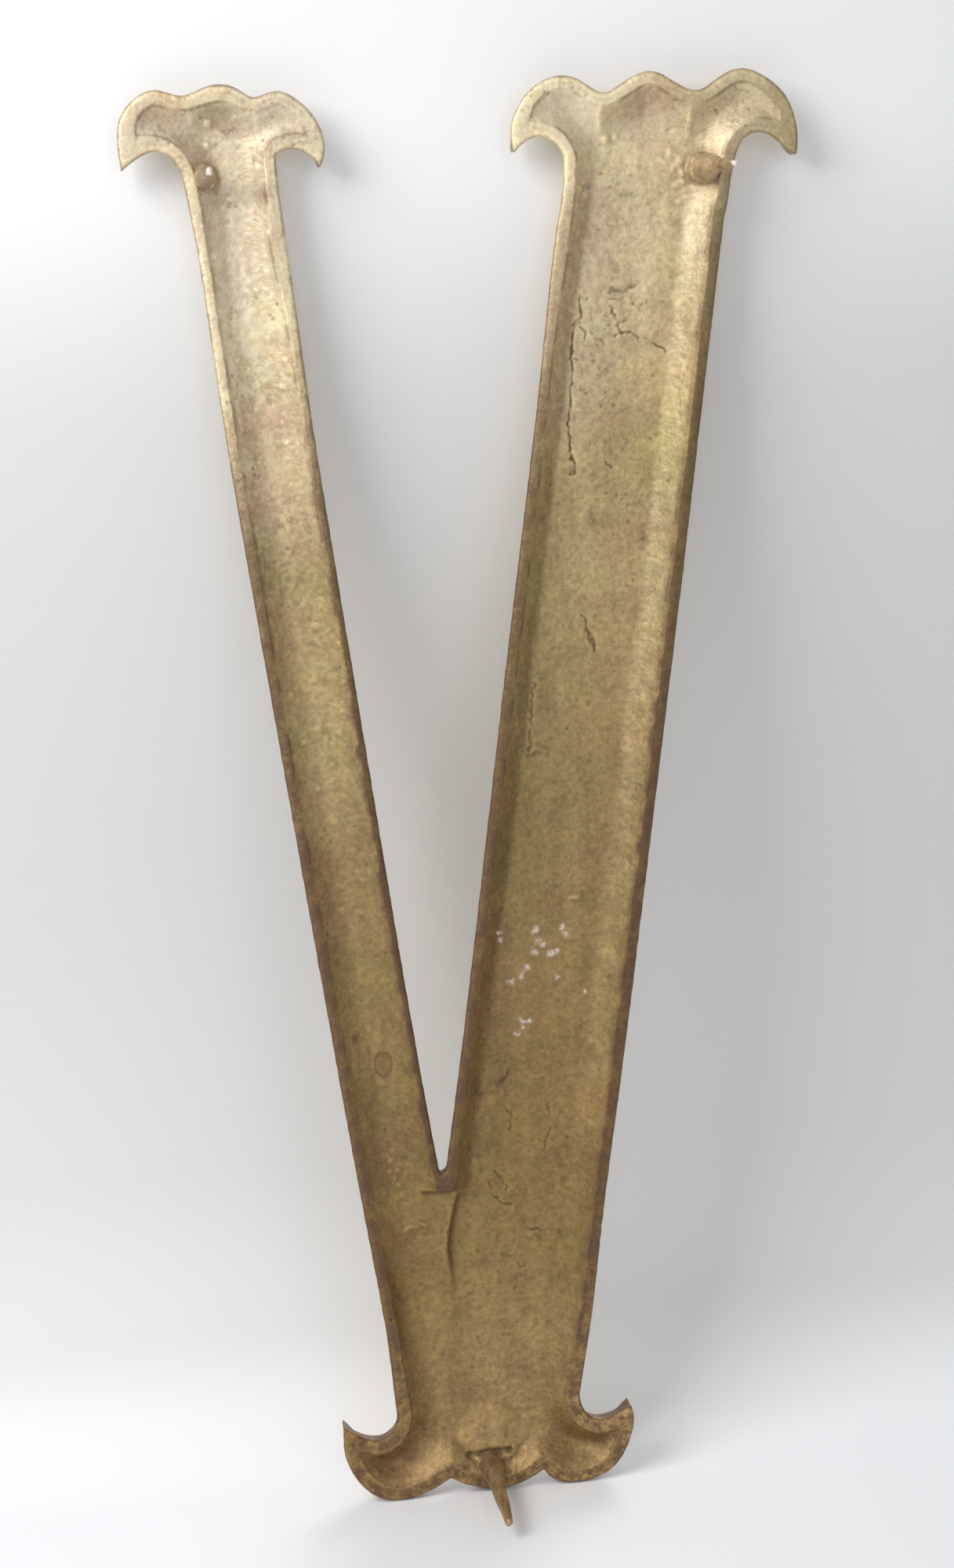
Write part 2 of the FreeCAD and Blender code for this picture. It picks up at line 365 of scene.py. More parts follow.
def hollow(across, up, edge, sides):
    """Depth of the hollow back, and how far each point is inside the rim's inner edge."""
    rims = rim_widths(across, up)
    low = smooth(430.0, 260.0, up)
    thin_outer = wall(sides[0], rims[0], THIN_RUN, 0.85)
    thin = THIN_DEPTH * np.minimum(thin_outer, wall(sides[1], rims[1], THIN_RUN, 0.85))
    thick_outer = wall(sides[3], rims[3], OUTER_RUN + 2.0 * low, 0.92)
    across_share = np.clip(sides[2] / np.clip(sides[2] + sides[3], 1.0, None), 0.0, 1.0)
    dish = THICK_DISH * 4.0 * across_share * (1.0 - across_share)
    thick = (THICK_DEPTH + dish) * np.minimum(wall(sides[2], rims[2], THICK_RUN, 1.1), thick_outer)
    above_web = np.maximum(thin, thick)
    above_inner = np.maximum(
        np.minimum(sides[0] - rims[0], sides[1] - rims[1]),
        np.minimum(sides[2] - rims[2], sides[3] - rims[3]))

    shelf_edge = np.array(SHELF_EDGE)
    beyond = across - np.interp(up, shelf_edge[::-1, 1], shelf_edge[::-1, 0])
    merged = smooth(120.0, 92.0, up)
    shelf = SHELF_DEPTH + 1.6 * smooth(WEB_UP, 114.0, up)
    left = THIN_DEPTH * thin_outer
    left = left + (np.minimum(shelf, left) - left) * smooth(-13.0, -3.0, beyond)
    left = left + (THICK_DEPTH + 0.7 * THICK_DISH - left) * merged * thin_outer
    right = (THICK_DEPTH + 0.8 * THICK_DISH) * thick_outer
    below_web = left + (right - left) * smooth(-0.6, 1.5, beyond)
    below_inner = np.minimum(
        np.minimum(sides[0] - rims[0], sides[3] - rims[3]), np.maximum(WEB_UP - up, above_inner))
    web_face = smooth(6.0, 3.2, above_web)
    under = (
        web_face * smooth(WEB_UP + 0.6, WEB_UP - 1.2, up)
        + (1.0 - web_face) * smooth(WEB_UP + 2.0, WEB_UP - 9.0, up))
    stroke = above_web + (np.maximum(below_web, above_web) - above_web) * under
    stroke_inner = np.where(up < WEB_UP, below_inner, above_inner)

    heads, foot = place_weights(up)
    slope_run = HEAD_RUN + (FOOT_RUN - HEAD_RUN) * foot
    slope_run = slope_run + 7.0 * bump(across, up, (122.0, 581.0), 13.0)
    shallow = sum(bump(across, up, horn, 17.0) for horn in HORNS)
    level = HEAD_DEPTH * (1.0 - 0.56 * np.clip(shallow, 0.0, 1.0))
    head = level * wall(edge, rims[4], slope_run, 0.95)
    head_inner = edge - rims[4]
    head = head + foot * 1.2 * smooth(2.0, 12.0, head_inner)
    share = np.maximum(heads, foot)
    depth = stroke * (1.0 - share) + head * share
    inner = stroke_inner * (1.0 - share) + head_inner * share

    floor = np.clip(inner / 4.0, 0.0, 1.0)
    thin_side = smooth(0.0, -24.0, across)
    depth = depth - 0.85 * thin_side * smooth(563.0, 560.8, up) * smooth(520.0, 560.0, up) * floor
    return depth, inner


def shape_lobes(depth, inner, across, up):
    """Deepens the heart of each lobe and leaves a crest between neighbours."""
    heads, foot = place_weights(up)
    inside_rim = smooth(0.0, 4.0, inner)
    for place, reach, extra in SCOOPS:
        depth = depth + extra * bump(across, up, place, reach) * inside_rim
    for line, height, width in RIDGES:
        away, along = to_line(across, up, line)
        crest = height * (1.0 - smooth(0.25, 1.0, along)) * np.exp(-away / width)
        depth = depth * (1.0 - crest * np.maximum(heads, foot))
    return depth


def round_outer_edges(depth, edge, sides, up):
    """Wears the rim away towards its outer edge, most on the right of each stroke."""
    heads, foot = place_weights(up)
    in_strokes = 1.0 - np.maximum(heads, foot)
    right = np.maximum(smooth(6.0, 0.0, sides[3]), 0.5 * smooth(5.0, 0.0, np.abs(sides[1])))
    rounding = 0.35 - 0.15 * in_strokes + 1.2 * right * in_strokes
    return depth + rounding * np.clip(1.0 - edge / 4.2, 0.0, 1.0) ** 1.3


def raise_bosses(depth, across, up):
    """Stands a stub of metal under each spike. The floor rises to a slot above the foot's."""
    ramp = 4.0 + 0.2 * np.clip(up - 17.0, 0.0, None)
    ramp = ramp + 0.25 * np.clip(np.abs(across) - 6.0, 0.0, None)
    depth = np.where(up < 60.0, np.minimum(depth, ramp), depth)
    for place, radius, fall in BOSSES:
        away = np.hypot(across - place[0], up - place[1])
        away = away + 0.6 * mid_waves(across * 2.0, up * 2.0)
        gone = np.clip(away - radius, 0.0, None)
        depth = np.minimum(depth, BOSS_TOP + fall * gone)
    slot, _ = to_line(across, up, SLOT)
    return depth + 1.3 * np.exp(-(slot / 1.5) ** 2)


def soften(depth, inner, up, triangles):
    """Rounds the scooped lobes by sharing depths between neighbours, rims left alone."""
    heads, foot = place_weights(up)
    weight = np.maximum(heads, foot) * smooth(0.1, 1.6, inner)
    ends = np.vstack([triangles[:, (0, 1)], triangles[:, (1, 2)], triangles[:, (2, 0)]])
    count = len(depth)
    number = np.bincount(ends.ravel(), minlength=count)
    for _ in range(SOFTENING):
        total = np.bincount(ends[:, 0], depth[ends[:, 1]], count)
        total += np.bincount(ends[:, 1], depth[ends[:, 0]], count)
        depth = depth + 0.7 * weight * (total / number - depth)
    return depth


LUMPS = (                       # nodules left by the sand: across, up, radius, height
    (-90.2, 595.2, 1.3, 1.2), (-91.0, 586.8, 1.1, 0.8), (52.2, 540.0, 1.2, 1.3),
    (50.8, 536.8, 0.8, 0.8), (70.8, 583.4, 1.4, 1.2), (75.5, 584.4, 1.1, 0.7),
    (58.2, 564.6, 1.5, 0.8), (61.8, 562.0, 1.3, 0.7), (57.6, 557.6, 1.2, 0.6),
    (98.0, 577.8, 1.8, 0.6), (101.6, 574.4, 1.5, 0.5), (94.2, 574.0, 1.6, 0.4),
    (-34.4, 145.6, 0.9, 1.1), (-31.8, 150.4, 0.8, 0.9), (-38.0, 152.2, 0.8, 1.0),
    (-37.4, 157.0, 0.9, 1.0), (-33.0, 141.0, 0.8, 0.8), (-36.8, 161.0, 0.8, 0.8),
    (-72.0, 577.2, 0.9, 0.7), (61.0, 567.5, 1.6, 0.6), (-53.0, 425.0, 1.1, 0.7),
    (-49.5, 384.0, 1.2, 0.9), (-57.8, 391.0, 1.0, 0.7), (-35.0, 152.0, 0.8, 0.9),
    (-33.6, 155.0, 0.8, 0.8), (-36.2, 148.4, 0.7, 0.7), (14.0, 199.0, 0.8, 0.6))
SEAMS = (                       # raised threads of metal: line, half width, height
    (((30.5, 330.8), (32.8, 333.0), (35.0, 332.6), (37.4, 331.2)), 0.8, 1.1),
    (((45.6, 266.3), (48.0, 266.9), (50.2, 266.4)), 0.7, 0.9),
    (((51.8, 270.4), (54.6, 269.0)), 0.6, 0.7),
    (((-33.0, 124.4), (-30.4, 126.2), (-27.8, 126.0)), 0.6, 0.8),
    (((-26.8, 127.8), (-24.4, 126.2)), 0.5, 0.7))
CRACKS = (                      # line, half width, depth
    (((58.8, 521.0), (59.4, 517.0), (58.6, 512.0), (55.2, 509.4), (55.2, 502.0), (54.0, 495.5),
      (54.4, 488.0), (53.4, 479.0), (51.7, 470.5), (51.6, 465.8), (53.2, 462.8), (51.9, 457.5),
      (53.8, 453.0), (53.2, 448.5)), 0.34, 0.75),
    (((71.0, 522.6), (74.0, 523.4), (77.6, 522.2), (80.4, 524.4), (83.4, 525.6)), 0.6, 0.5),
    (((71.8, 519.8), (75.2, 519.2), (78.0, 519.9)), 0.4, 0.4),
    (((70.6, 516.2), (73.2, 513.4), (75.6, 510.6), (75.2, 507.4), (76.4, 505.6), (72.2, 503.9)),
     0.36, 0.55),
    (((79.0, 511.2), (75.8, 510.0)), 0.4, 0.5),
    (((58.6, 519.6), (61.8, 520.6)), 0.34, 0.45), (((55.6, 509.2), (58.6, 511.0)), 0.4, 0.5),
    (((58.2, 508.6), (61.0, 506.8), (60.4, 503.6)), 0.34, 0.4),
    (((54.6, 496.0), (56.6, 495.0)), 0.4, 0.5), (((68.0, 452.8), (69.4, 449.6)), 0.4, 0.5),
    (((14.4, 196.0), (15.6, 190.0), (12.8, 186.6), (14.6, 181.0)), 0.4, 0.4),
    (((13.0, 176.0), (17.4, 171.4), (15.0, 165.0)), 0.36, 0.35),
    (((6.4, 147.0), (11.0, 143.6), (12.6, 138.0)), 0.36, 0.35),
    (((76.4, 505.6), (80.2, 504.8), (82.6, 502.0)), 0.34, 0.5),
    (((86.4, 502.2), (90.6, 501.0), (94.3, 496.8)), 0.4, 0.6),
    (((63.2, 506.0), (66.0, 503.0), (68.4, 501.0)), 0.35, 0.4),
    (((55.4, 389.0), (57.2, 384.6), (58.8, 379.4), (60.2, 373.6)), 0.36, 0.6),
    (((33.4, 361.0), (32.2, 352.5), (32.4, 345.0), (30.2, 330.0)), 0.35, 0.45),
    (((5.0, 142.0), (6.4, 135.6), (9.6, 132.4), (14.0, 131.0)), 0.35, 0.4),
    (((10.0, 108.0), (14.6, 105.4), (19.6, 100.8)), 0.35, 0.4),
    (((22.0, 119.0), (27.0, 118.2), (36.0, 116.8)), 0.35, 0.4),
    (((34.0, 176.0), (33.0, 166.0), (31.0, 154.0)), 0.3, 0.35))


def wander_off(across, up):
    """The places moved about a little, so that a line drawn through them wanders."""
    return across + 1.1 * rim_chips(across, up), up + 0.9 * rim_chips(up, across)


def breaks(across, up):
    """How whole a crack is, from 0.35 where it nearly stops to 1."""
    return 0.35 + 0.65 * smooth(-0.6, 0.0, rim_chips(across * 0.7 + 50.0, up * 0.7))


def scatter(count, ring, weight):
    """Random places inside the rim, more of them where weight is high."""
    low = ring.min(axis=0)
    high = ring.max(axis=0)
    found = []
    while len(found) < count:
        across = rng.uniform(low[0], high[0], 4000)
        up = rng.uniform(low[1], high[1], 4000)
        keep = inside(across, up, ring) & (rng.uniform(0.0, 1.0, 4000) < weight(across, up))
        found.extend(zip(across[keep], up[keep]))
    return found[:count]


def add_spots(depth, across, up, spots):
    """Adds humps (height above 0) or pits (below 0) to a depth. spots: place, radius, height."""
    order = np.argsort(up)
    sorted_up = up[order]
    for place, radius, height in spots:
        first, last = np.searchsorted(sorted_up, (place[1] - 3 * radius, place[1] + 3 * radius))
        rows = order[first:last]
        rows = rows[np.abs(across[rows] - place[0]) < 3 * radius]
        depth[rows] -= height * bump(across[rows], up[rows], place, radius)
    return depth


def cast_skin(depth, inner, across, up, ring):
    """The sand-cast unevenness of the hollow: swells, grain, nodules, pits and cracks."""
    floor = np.clip(0.25 + inner / 4.0, 0.25, 1.0)
    calm = 1.0 - 0.55 * smooth(13.0, 6.0, inner) * smooth(0.5, 2.0, inner)
    calm = calm * (1.0 - 0.35 * place_weights(up)[0])
    depth = depth + floor * (
        0.42 * wide_waves(across, up) + 0.26 * long_waves(across, up)
        + calm * (0.15 * mid_waves(across, up) + 0.13 * sand_coarse(across, up)))
    depth = depth + 0.07 * calm * sand_fine(across, up)
    spots = [((x, y), r, h) for x, y, r, h in LUMPS]
    thin = scatter(190, ring, lambda x, y: smooth(10.0, -30.0, x) * smooth(150.0, 420.0, y))
    both = scatter(400, ring, lambda x, y: 0.25 + 0.75 * smooth(420.0, 250.0, y))
    spots += [(p, rng.uniform(0.45, 1.1), rng.uniform(0.15, 0.6)) for p in thin]
    spots += [(p, rng.uniform(0.45, 1.0), rng.uniform(0.1, 0.45)) for p in both]
    pits = scatter(260, ring, lambda x, y: 0.2 + 0.8 * smooth(260.0, 60.0, y))
    spots += [(p, rng.uniform(0.45, 0.9), -rng.uniform(0.15, 0.5)) for p in pits]
    bead = [(rng.normal(-6.8, 1.7), rng.normal(11.0, 3.4)) for _ in range(40)]
    spots += [(p, rng.uniform(0.55, 1.0), rng.uniform(0.4, 1.0)) for p in bead]
    crust = [(rng.normal(10.0, 4.5), rng.normal(16.0, 3.0)) for _ in range(46)]
    spots += [(p, rng.uniform(0.45, 0.9), rng.uniform(0.2, 0.7)) for p in crust]
    spatter = [(rng.normal(102.0, 4.0), rng.normal(567.0, 4.4)) for _ in range(54)]
    spots += [(p, rng.uniform(0.45, 1.2), rng.uniform(0.1, 0.45)) for p in spatter]
    depth = add_spots(depth, across, up, spots)
    for line, half, height in SEAMS:
        away, _ = to_line(across, up, line)
        depth = depth - 1.2 * height * np.exp(-(away / half) ** 2)
    wobble_x, wobble_y = wander_off(across, up)
    whole = breaks(across, up)
    for line, half, drop in CRACKS:
        away, _ = to_line(wobble_x, wobble_y, line)
        depth = depth + drop * whole * np.exp(-(away / (half + 0.1)) ** 2)
    return depth


# ------------------------------------------------------------------ colour marks
DEPOSITS = (                    # pale crusts: across, up, reach
    (30.2, 253.2, 2.4), (30.9, 248.6, 2.0), (29.0, 244.0, 2.2), (42.4, 254.2, 2.2),
    (43.4, 250.6, 1.7), (36.8, 242.2, 2.4), (39.4, 243.0, 1.8), (25.8, 237.2, 2.3),
    (23.4, 233.6, 2.1), (18.4, 231.6, 1.6), (39.0, 231.6, 2.0), (50.4, 224.4, 1.4),
    (23.2, 213.4, 1.9), (26.0, 213.4, 1.9), (20.8, 207.6, 1.7), (22.8, 210.4, 1.4),
    (14.2, 253.4, 1.6), (14.8, 250.4, 1.2), (33.8, 246.6, 1.6))
# Upper hearts of the foot's lobes: brown tarnish there, and painted shade under the top rim.
SHADED_TARNISH_HEARTS = ((-46.0, 25.0), (-33.0, 34.0), (36.0, 30.0), (47.0, 22.0))
SMUDGES = (                     # dark marks: across, up, reach, stretch
    (-81.8, 591.6, 3.0, 0.7), (74.4, 522.8, 3.2, 0.5), (60.6, 429.0, 1.6, 2.2),
    (81.8, 420.0, 2.0, 1.6), (-50.0, 213.0, 1.7, 1.1), (80.0, 561.0, 2.6, 0.5),
    (53.6, 450.0, 1.6, 0.9), (12.0, 187.0, 2.6, 0.8), (3.0, 183.0, 2.6, 0.8),
    (27.0, 115.5, 2.4, 1.0), (36.0, 116.0, 2.0, 0.8),
    (58.4, 17.0, 1.7, 1.2))
PAINTED_SHADE_LINES = (                 # painted shade beside the slot, along the shelf's step and under the web: strength, half
    (((-12.0, 15.4), (-8.5, 15.6), (-5.5, 17.2)), 0.5, 1.4), (SHELF_EDGE, 0.55, 0.8),
    (((-18.8, WEB_UP + 1.6), (-10.6, WEB_UP + 1.6)), 0.6, 2.2))


def marks(across, up):
    """Masks over the back for the finish: crack, deposit, stain, and smudges with painted shade in
    the slot and along steps.
    """
    wobble_x, wobble_y = wander_off(across, up)
    whole = breaks(across, up)
    crack = np.zeros(len(across))
    for line, half, drop in CRACKS:
        away, _ = to_line(wobble_x, wobble_y, line)
        crack = np.maximum(crack, whole * np.exp(-(away / half) ** 2) * min(1.0, drop + 0.1))
    deposit = np.zeros(len(across))
    for x, y, reach in DEPOSITS:
        deposit = np.maximum(deposit, bump(wobble_x, wobble_y, (x, y), reach))
    smudge_and_shade = np.zeros(len(across))
    for x, y, reach, stretch in SMUDGES:
        smudge_and_shade = np.maximum(smudge_and_shade, bump(wobble_x, wobble_y, (x, y), reach, stretch))
    # Painted shade in the slot above the foot's spike.
    slot, _ = to_line(wobble_x, up, SLOT)
    smudge_and_shade = np.maximum(smudge_and_shade, 1.25 * np.exp(-(slot / 1.6) ** 2))
    for line, strength, half in PAINTED_SHADE_LINES:
        away, _ = to_line(wobble_x, wobble_y, line)
        smudge_and_shade = np.maximum(smudge_and_shade, strength * np.exp(-(away / half) ** 2))
    drop_r = np.hypot((across + 39.0) / 3.7, (up - 200.0 - 0.25 * np.abs(across + 39.0)) / 5.4)
    stain = 0.9 * np.exp(-((drop_r - 1.0) / 0.11) ** 2) + 0.4 * (drop_r < 1.0)
    return crack, deposit, np.clip(stain, 0.0, 1.0), np.clip(smudge_and_shade, 0.0, 1.0)


# ------------------------------------------------------------------ mesh making
def lattice(ring, step, clear):
    """A staggered lattice of points inside the ring, at least clear from its edge."""
    low = ring.min(axis=0)
    high = ring.max(axis=0)
    rows = np.arange(low[1], high[1], step * math.sqrt(3.0) / 2.0)
    columns = np.arange(low[0], high[0], step)
    across, up = np.meshgrid(columns, rows)
    across = across + (np.arange(len(rows)) % 2)[:, None] * step / 2.0
    across = across.ravel() + rng.uniform(-0.06, 0.06, across.size) * step
    up = up.ravel() + rng.uniform(-0.06, 0.06, up.size) * step
    keep = inside(across, up, ring)
    across, up = across[keep], up[keep]
    edge = edge_distance(across, up, ring)
    keep = edge > clear
    return across[keep], up[keep], edge[keep]


def refine(across, up, edge, ring, strokes):
    """Swaps the lattice points near cracks and the rim's inner edge for a finer lattice."""
    fine_x, fine_y, fine_edge = lattice(ring, FINE_STEP, 0.6 * BACK_STEP)
    near = np.abs(hollow(fine_x, fine_y, fine_edge, strokes(fine_x, fine_y))[1]) < 0.75
    for line, _, _ in CRACKS:
        near |= to_line(fine_x, fine_y, line)[0] < 1.1
    fine_x, fine_y, fine_edge = fine_x[near], fine_y[near], fine_edge[near]
    far = np.abs(hollow(across, up, edge, strokes(across, up))[1]) > 0.95
    for line, _, _ in CRACKS:
        far &= to_line(across, up, line)[0] > 1.3
    return (
        np.concatenate([across[far], fine_x]), np.concatenate([up[far], fine_y]),
        np.concatenate([edge[far], fine_edge]))


def snap_to_rim(across, up, edge, ring, strokes, step):
    """Moves the points beside the rim's inner edge onto it, so that the edge stays crisp."""
    def inner_at(x, y):
        return hollow(x, y, edge_distance(x, y, ring), strokes(x, y))[1]

    inner = hollow(across, up, edge, strokes(across, up))[1]
    near = np.flatnonzero(np.abs(inner) < 0.42 * step)
    x, y = across[near], up[near]
    probe = 0.15
    slope_x = (inner_at(x + probe, y) - inner_at(x - probe, y)) / (2.0 * probe)
    slope_y = (inner_at(x, y + probe) - inner_at(x, y - probe)) / (2.0 * probe)
    steep = np.clip(slope_x ** 2 + slope_y ** 2, 0.3, None)
    across = across.copy()
    up = up.copy()
    across[near] -= inner[near] * slope_x / steep
    up[near] -= inner[near] * slope_y / steep
    return across, up, edge_distance(across, up, ring)


def fill(ring, across, up):
    """Triangles over the ring and the points inside it. The ring's points come first."""
    points = [Vector(p) for p in ring] + [Vector(p) for p in zip(across, up)]
    count = len(ring)
    border = [(i, (i + 1) % count) for i in range(count)]
    made = delaunay_2d_cdt(points, border, [], 1, 1e-7)
    where = np.array([v[:] for v in made[0]])
    source = [origins[0] if origins else -1 for origins in made[3]]
    return where, np.array(made[2]), np.array(source)


def mesh_points(across, up, depth):
    return np.column_stack([across, depth, up - FOOT_SPIKE_UP]) * MM


def make_casting():
    """The casting: hollow back, drawn sides and bevelled reading face, as one closed mesh."""
    outline = evenly(rim_rings()[0], RING_STEP)
    normals = inward(outline, 3)
    filed = 0.10 * rim_wander(outline[:, 0] * 1.7, outline[:, 1] * 1.7)
    chipped = 0.07 * rim_chips(outline[:, 0], outline[:, 1]) + 0.12
    ring = outline + normals * (filed + chipped + 0.06)[:, None]
    strokes = Strokes(ring)
    count = len(ring)

    # back
    x, y, edge = lattice(ring, BACK_STEP, 0.5 * BACK_STEP)
    x, y, edge = refine(x, y, edge, ring, strokes)
    x, y, edge = snap_to_rim(x, y, edge, ring, strokes, FINE_STEP)
    flat, back_faces, source = fill(ring, x, y)
    across, up = flat[:, 0], flat[:, 1]
    edge = edge_distance(across, up, ring)
    edge[source < count] = np.where(source[source < count] >= 0, 0.0, edge[source < count])
    depth, inner = hollow(across, up, edge, strokes(across, up))
    depth = soften(depth, inner, up, back_faces)
    depth = shape_lobes(depth, inner, across, up)
    depth = round_outer_edges(depth, edge, strokes(across, up), up)
    depth = raise_bosses(depth, across, up)
    depth = cast_skin(depth, inner, across, up, ring)
    rounded = 0.75 * np.clip(1.0 - edge / EDGE_ROUND, 0.0, 1.0) ** 2
    depth = np.clip(depth, 0.0, None) + rounded
    crack, deposit, stain, smudge_and_shade = marks(across, up)
    back = mesh_points(across, up, depth)
    ring_back = np.full(count, -1)
    on_ring = (source >= 0) & (source < count)
    ring_back[source[on_ring]] = np.flatnonzero(on_ring)

    # sides
    room = horn_room(outline)
    smooth_in = inward(outline, 6)
    deep = ring
    rows = []
    side_waves = Grain(12, 3.0)
    for row in range(1, SIDE_ROWS + 1):
        share = row / SIDE_ROWS
        draw = np.minimum(SIDE_DRAFT, room) * share ** 1.2
        rough = 0.10 * side_waves(outline[:, 0] + 40.0 * row, outline[:, 1] * 1.3)
        deep = ring + smooth_in * (draw + np.minimum(0.4, room) * rough)[:, None]
        level = depth[ring_back] + (SIDE_DEPTH - depth[ring_back]) * share
        rows.append((deep, level))
    face_ring = rows[-1][0]

    # reading face
    fx, fy, fedge = lattice(face_ring, FACE_STEP, 0.55 * FACE_STEP)
    flat_face, face_faces, face_source = fill(face_ring, fx, fy)
    fedge = edge_distance(flat_face[:, 0], flat_face[:, 1], face_ring)
    face_depth = reading_face(flat_face[:, 0], flat_face[:, 1], fedge, strokes)
    on_face_ring = (face_source >= 0) & (face_source < count)
    face_depth[on_face_ring] = SIDE_DEPTH
    face = mesh_points(flat_face[:, 0], flat_face[:, 1], face_depth)

    # join: back points, side rows, then the face's own points
    points = [back]
    first_of_row = [None]
    total = len(back)
    for ring_points, level in rows:
        points.append(mesh_points(ring_points[:, 0], ring_points[:, 1], level))
        first_of_row.append(total)
        total += count
    own = np.flatnonzero(~on_face_ring)
    points.append(face[own])
    face_index = np.empty(len(face), int)
    face_index[own] = total + np.arange(len(own))
    face_index[on_face_ring] = first_of_row[-1] + face_source[on_face_ring]
    triangles = [back_faces]
    upper = ring_back
    here = np.arange(count)
    nxt = (here + 1) % count
    for row in range(1, SIDE_ROWS + 1):
        lower = first_of_row[row] + here
        triangles.append(np.column_stack([upper[here], lower[nxt], upper[nxt]]))
        triangles.append(np.column_stack([upper[here], lower[here], lower[nxt]]))
        upper = lower
    triangles.append(face_index[face_faces][:, ::-1])
    points = np.vstack(points)
    triangles = np.vstack(triangles)

    mesh = bpy.data.meshes.new("hollow_back_letter")
    mesh.from_pydata(points, [], triangles)
    mesh.update()
    rim = np.zeros(len(points))
    # The foot's upper lobe hearts take the rim's darkening: partly tarnish, partly painted shade
    # under the top rim.
    heart_tarnish_and_shade = 0.5 * sum(bump(across, up, heart, 9.0) for heart in SHADED_TARNISH_HEARTS)
    at_foot = place_weights(up)[1]
    filed_flat = smooth(0.9 + 2.5 * at_foot, -0.5 - 2.0 * at_foot, inner)
    rim[:len(back)] = np.maximum(np.maximum(filed_flat, heart_tarnish_and_shade), 0.3 * at_foot)
    side = np.zeros(len(points))
    side[len(back):first_of_row[-1]] = 1.0
    side[ring_back] = 0.5
    reading = np.zeros(len(points))
    reading[first_of_row[-1]:] = 1.0
    reading[first_of_row[-1]:first_of_row[-1] + count] = 0.6
    low = smooth(420.0, 220.0, up) * (1.0 - place_weights(up)[1])
    # Painted shade: a dark line along the rim's inner edge, wider and darker low down.
    rim_edge_shade_and_dirt = np.exp(-((inner - 0.4 + 1.3 * low) / (0.8 + 0.7 * low)) ** 2)
    rim_edge_shade_and_dirt *= smooth(-0.7, 0.6, rim_wander(across, up)) * (1.0 - 0.6 * place_weights(up)[1])
    # Painted light: the thick stroke's outer wall and the thick head's right slope are lightened,
    # as if lit from the upper left.
    outer_side = strokes(across, up)[3] - THICK_RIM_OUTER
    painted_light_wall = smooth(0.2, 2.5, outer_side) * smooth(14.0, 7.0, outer_side)
    painted_light_wall *= smooth(120.0, 200.0, up) * smooth(572.0, 545.0, up)
    painted_light_wall = np.maximum(painted_light_wall, 0.95 * bump(across, up, (121.0, 582.5), 9.0))
    # The broken line along the outer edge is dirt; it joins the painted shade in one mask.
    brink = np.exp(-(edge / 0.9) ** 2) * smooth(-0.5, 0.7, rim_wander(across + 90.0, up))
    rim_edge_shade_and_dirt = np.maximum(rim_edge_shade_and_dirt, 0.8 * brink)
    for name, values in (("crack", crack), ("deposit", deposit), ("stain", stain),
                         ("smudge_and_shade", smudge_and_shade), ("rim_edge_shade_and_dirt", rim_edge_shade_and_dirt), ("painted_light_wall", painted_light_wall)):
        whole = np.zeros(len(points))
        whole[:len(back)] = values
        add_mask(mesh, name, whole)
    add_mask(mesh, "rim", rim)
    add_mask(mesh, "side", side)
    add_mask(mesh, "reading_face", reading)
    piece = bpy.data.objects.new("cast_letter", mesh)
    bpy.context.scene.collection.objects.link(piece)
    close_and_smooth(piece)
    add_relief_masks(mesh)
    return piece


def reading_face(across, up, edge, strokes):
    """Depth of the reading face: bevelled edges, round-fronted thin stroke, full lobes."""
    sides = strokes(across, up)
    heads, foot = place_weights(up)
    share = np.maximum(heads, foot)
    crown = CASTING_DEPTH - SIDE_DEPTH
    top = 0.97 * crown
    thin = np.sin(np.clip(np.minimum(sides[0], sides[1]) / 17.0, 0.0, 1.0) * math.pi / 2.0)
    thick = np.sin(np.clip(np.minimum(sides[2], sides[3]) / 8.0, 0.0, 1.0) * math.pi / 2.0)
    stroke = np.maximum(thin, thick)
    head = np.sin(np.clip(edge / 9.0, 0.0, 1.0) * math.pi / 2.0)
    for line, _, _ in RIDGES:
        away, along = to_line(across, up, line)
        head = head * (1.0 - 0.55 * (1.0 - smooth(0.3, 1.0, along)) * np.exp(-(away / 2.2) ** 2))
    swell = stroke * (1.0 - share) + head * share
    swell = np.minimum(swell, np.sin(np.clip(edge / 6.0, 0.0, 1.0) * math.pi / 2.0))
    waves = 0.10 * long_waves(across + 300.0, up) + 0.04 * mid_waves(across + 300.0, up)
    return SIDE_DEPTH + top * swell + waves * np.clip(edge / 3.0, 0.0, 1.0) - 0.14 * swell


def add_mask(mesh, name, values):
    layer = mesh.attributes.new(name, "FLOAT", "POINT")
    layer.data.foreach_set("value", np.clip(values, 0.0, 1.0).astype(np.float32))


def close_and_smooth(piece):
    """Faces outwards and shaded smooth."""
    work = bmesh.new()
    work.from_mesh(piece.data)
    bmesh.ops.recalc_face_normals(work, faces=work.faces)
    work.to_mesh(piece.data)
    work.free()
    piece.data.shade_smooth()


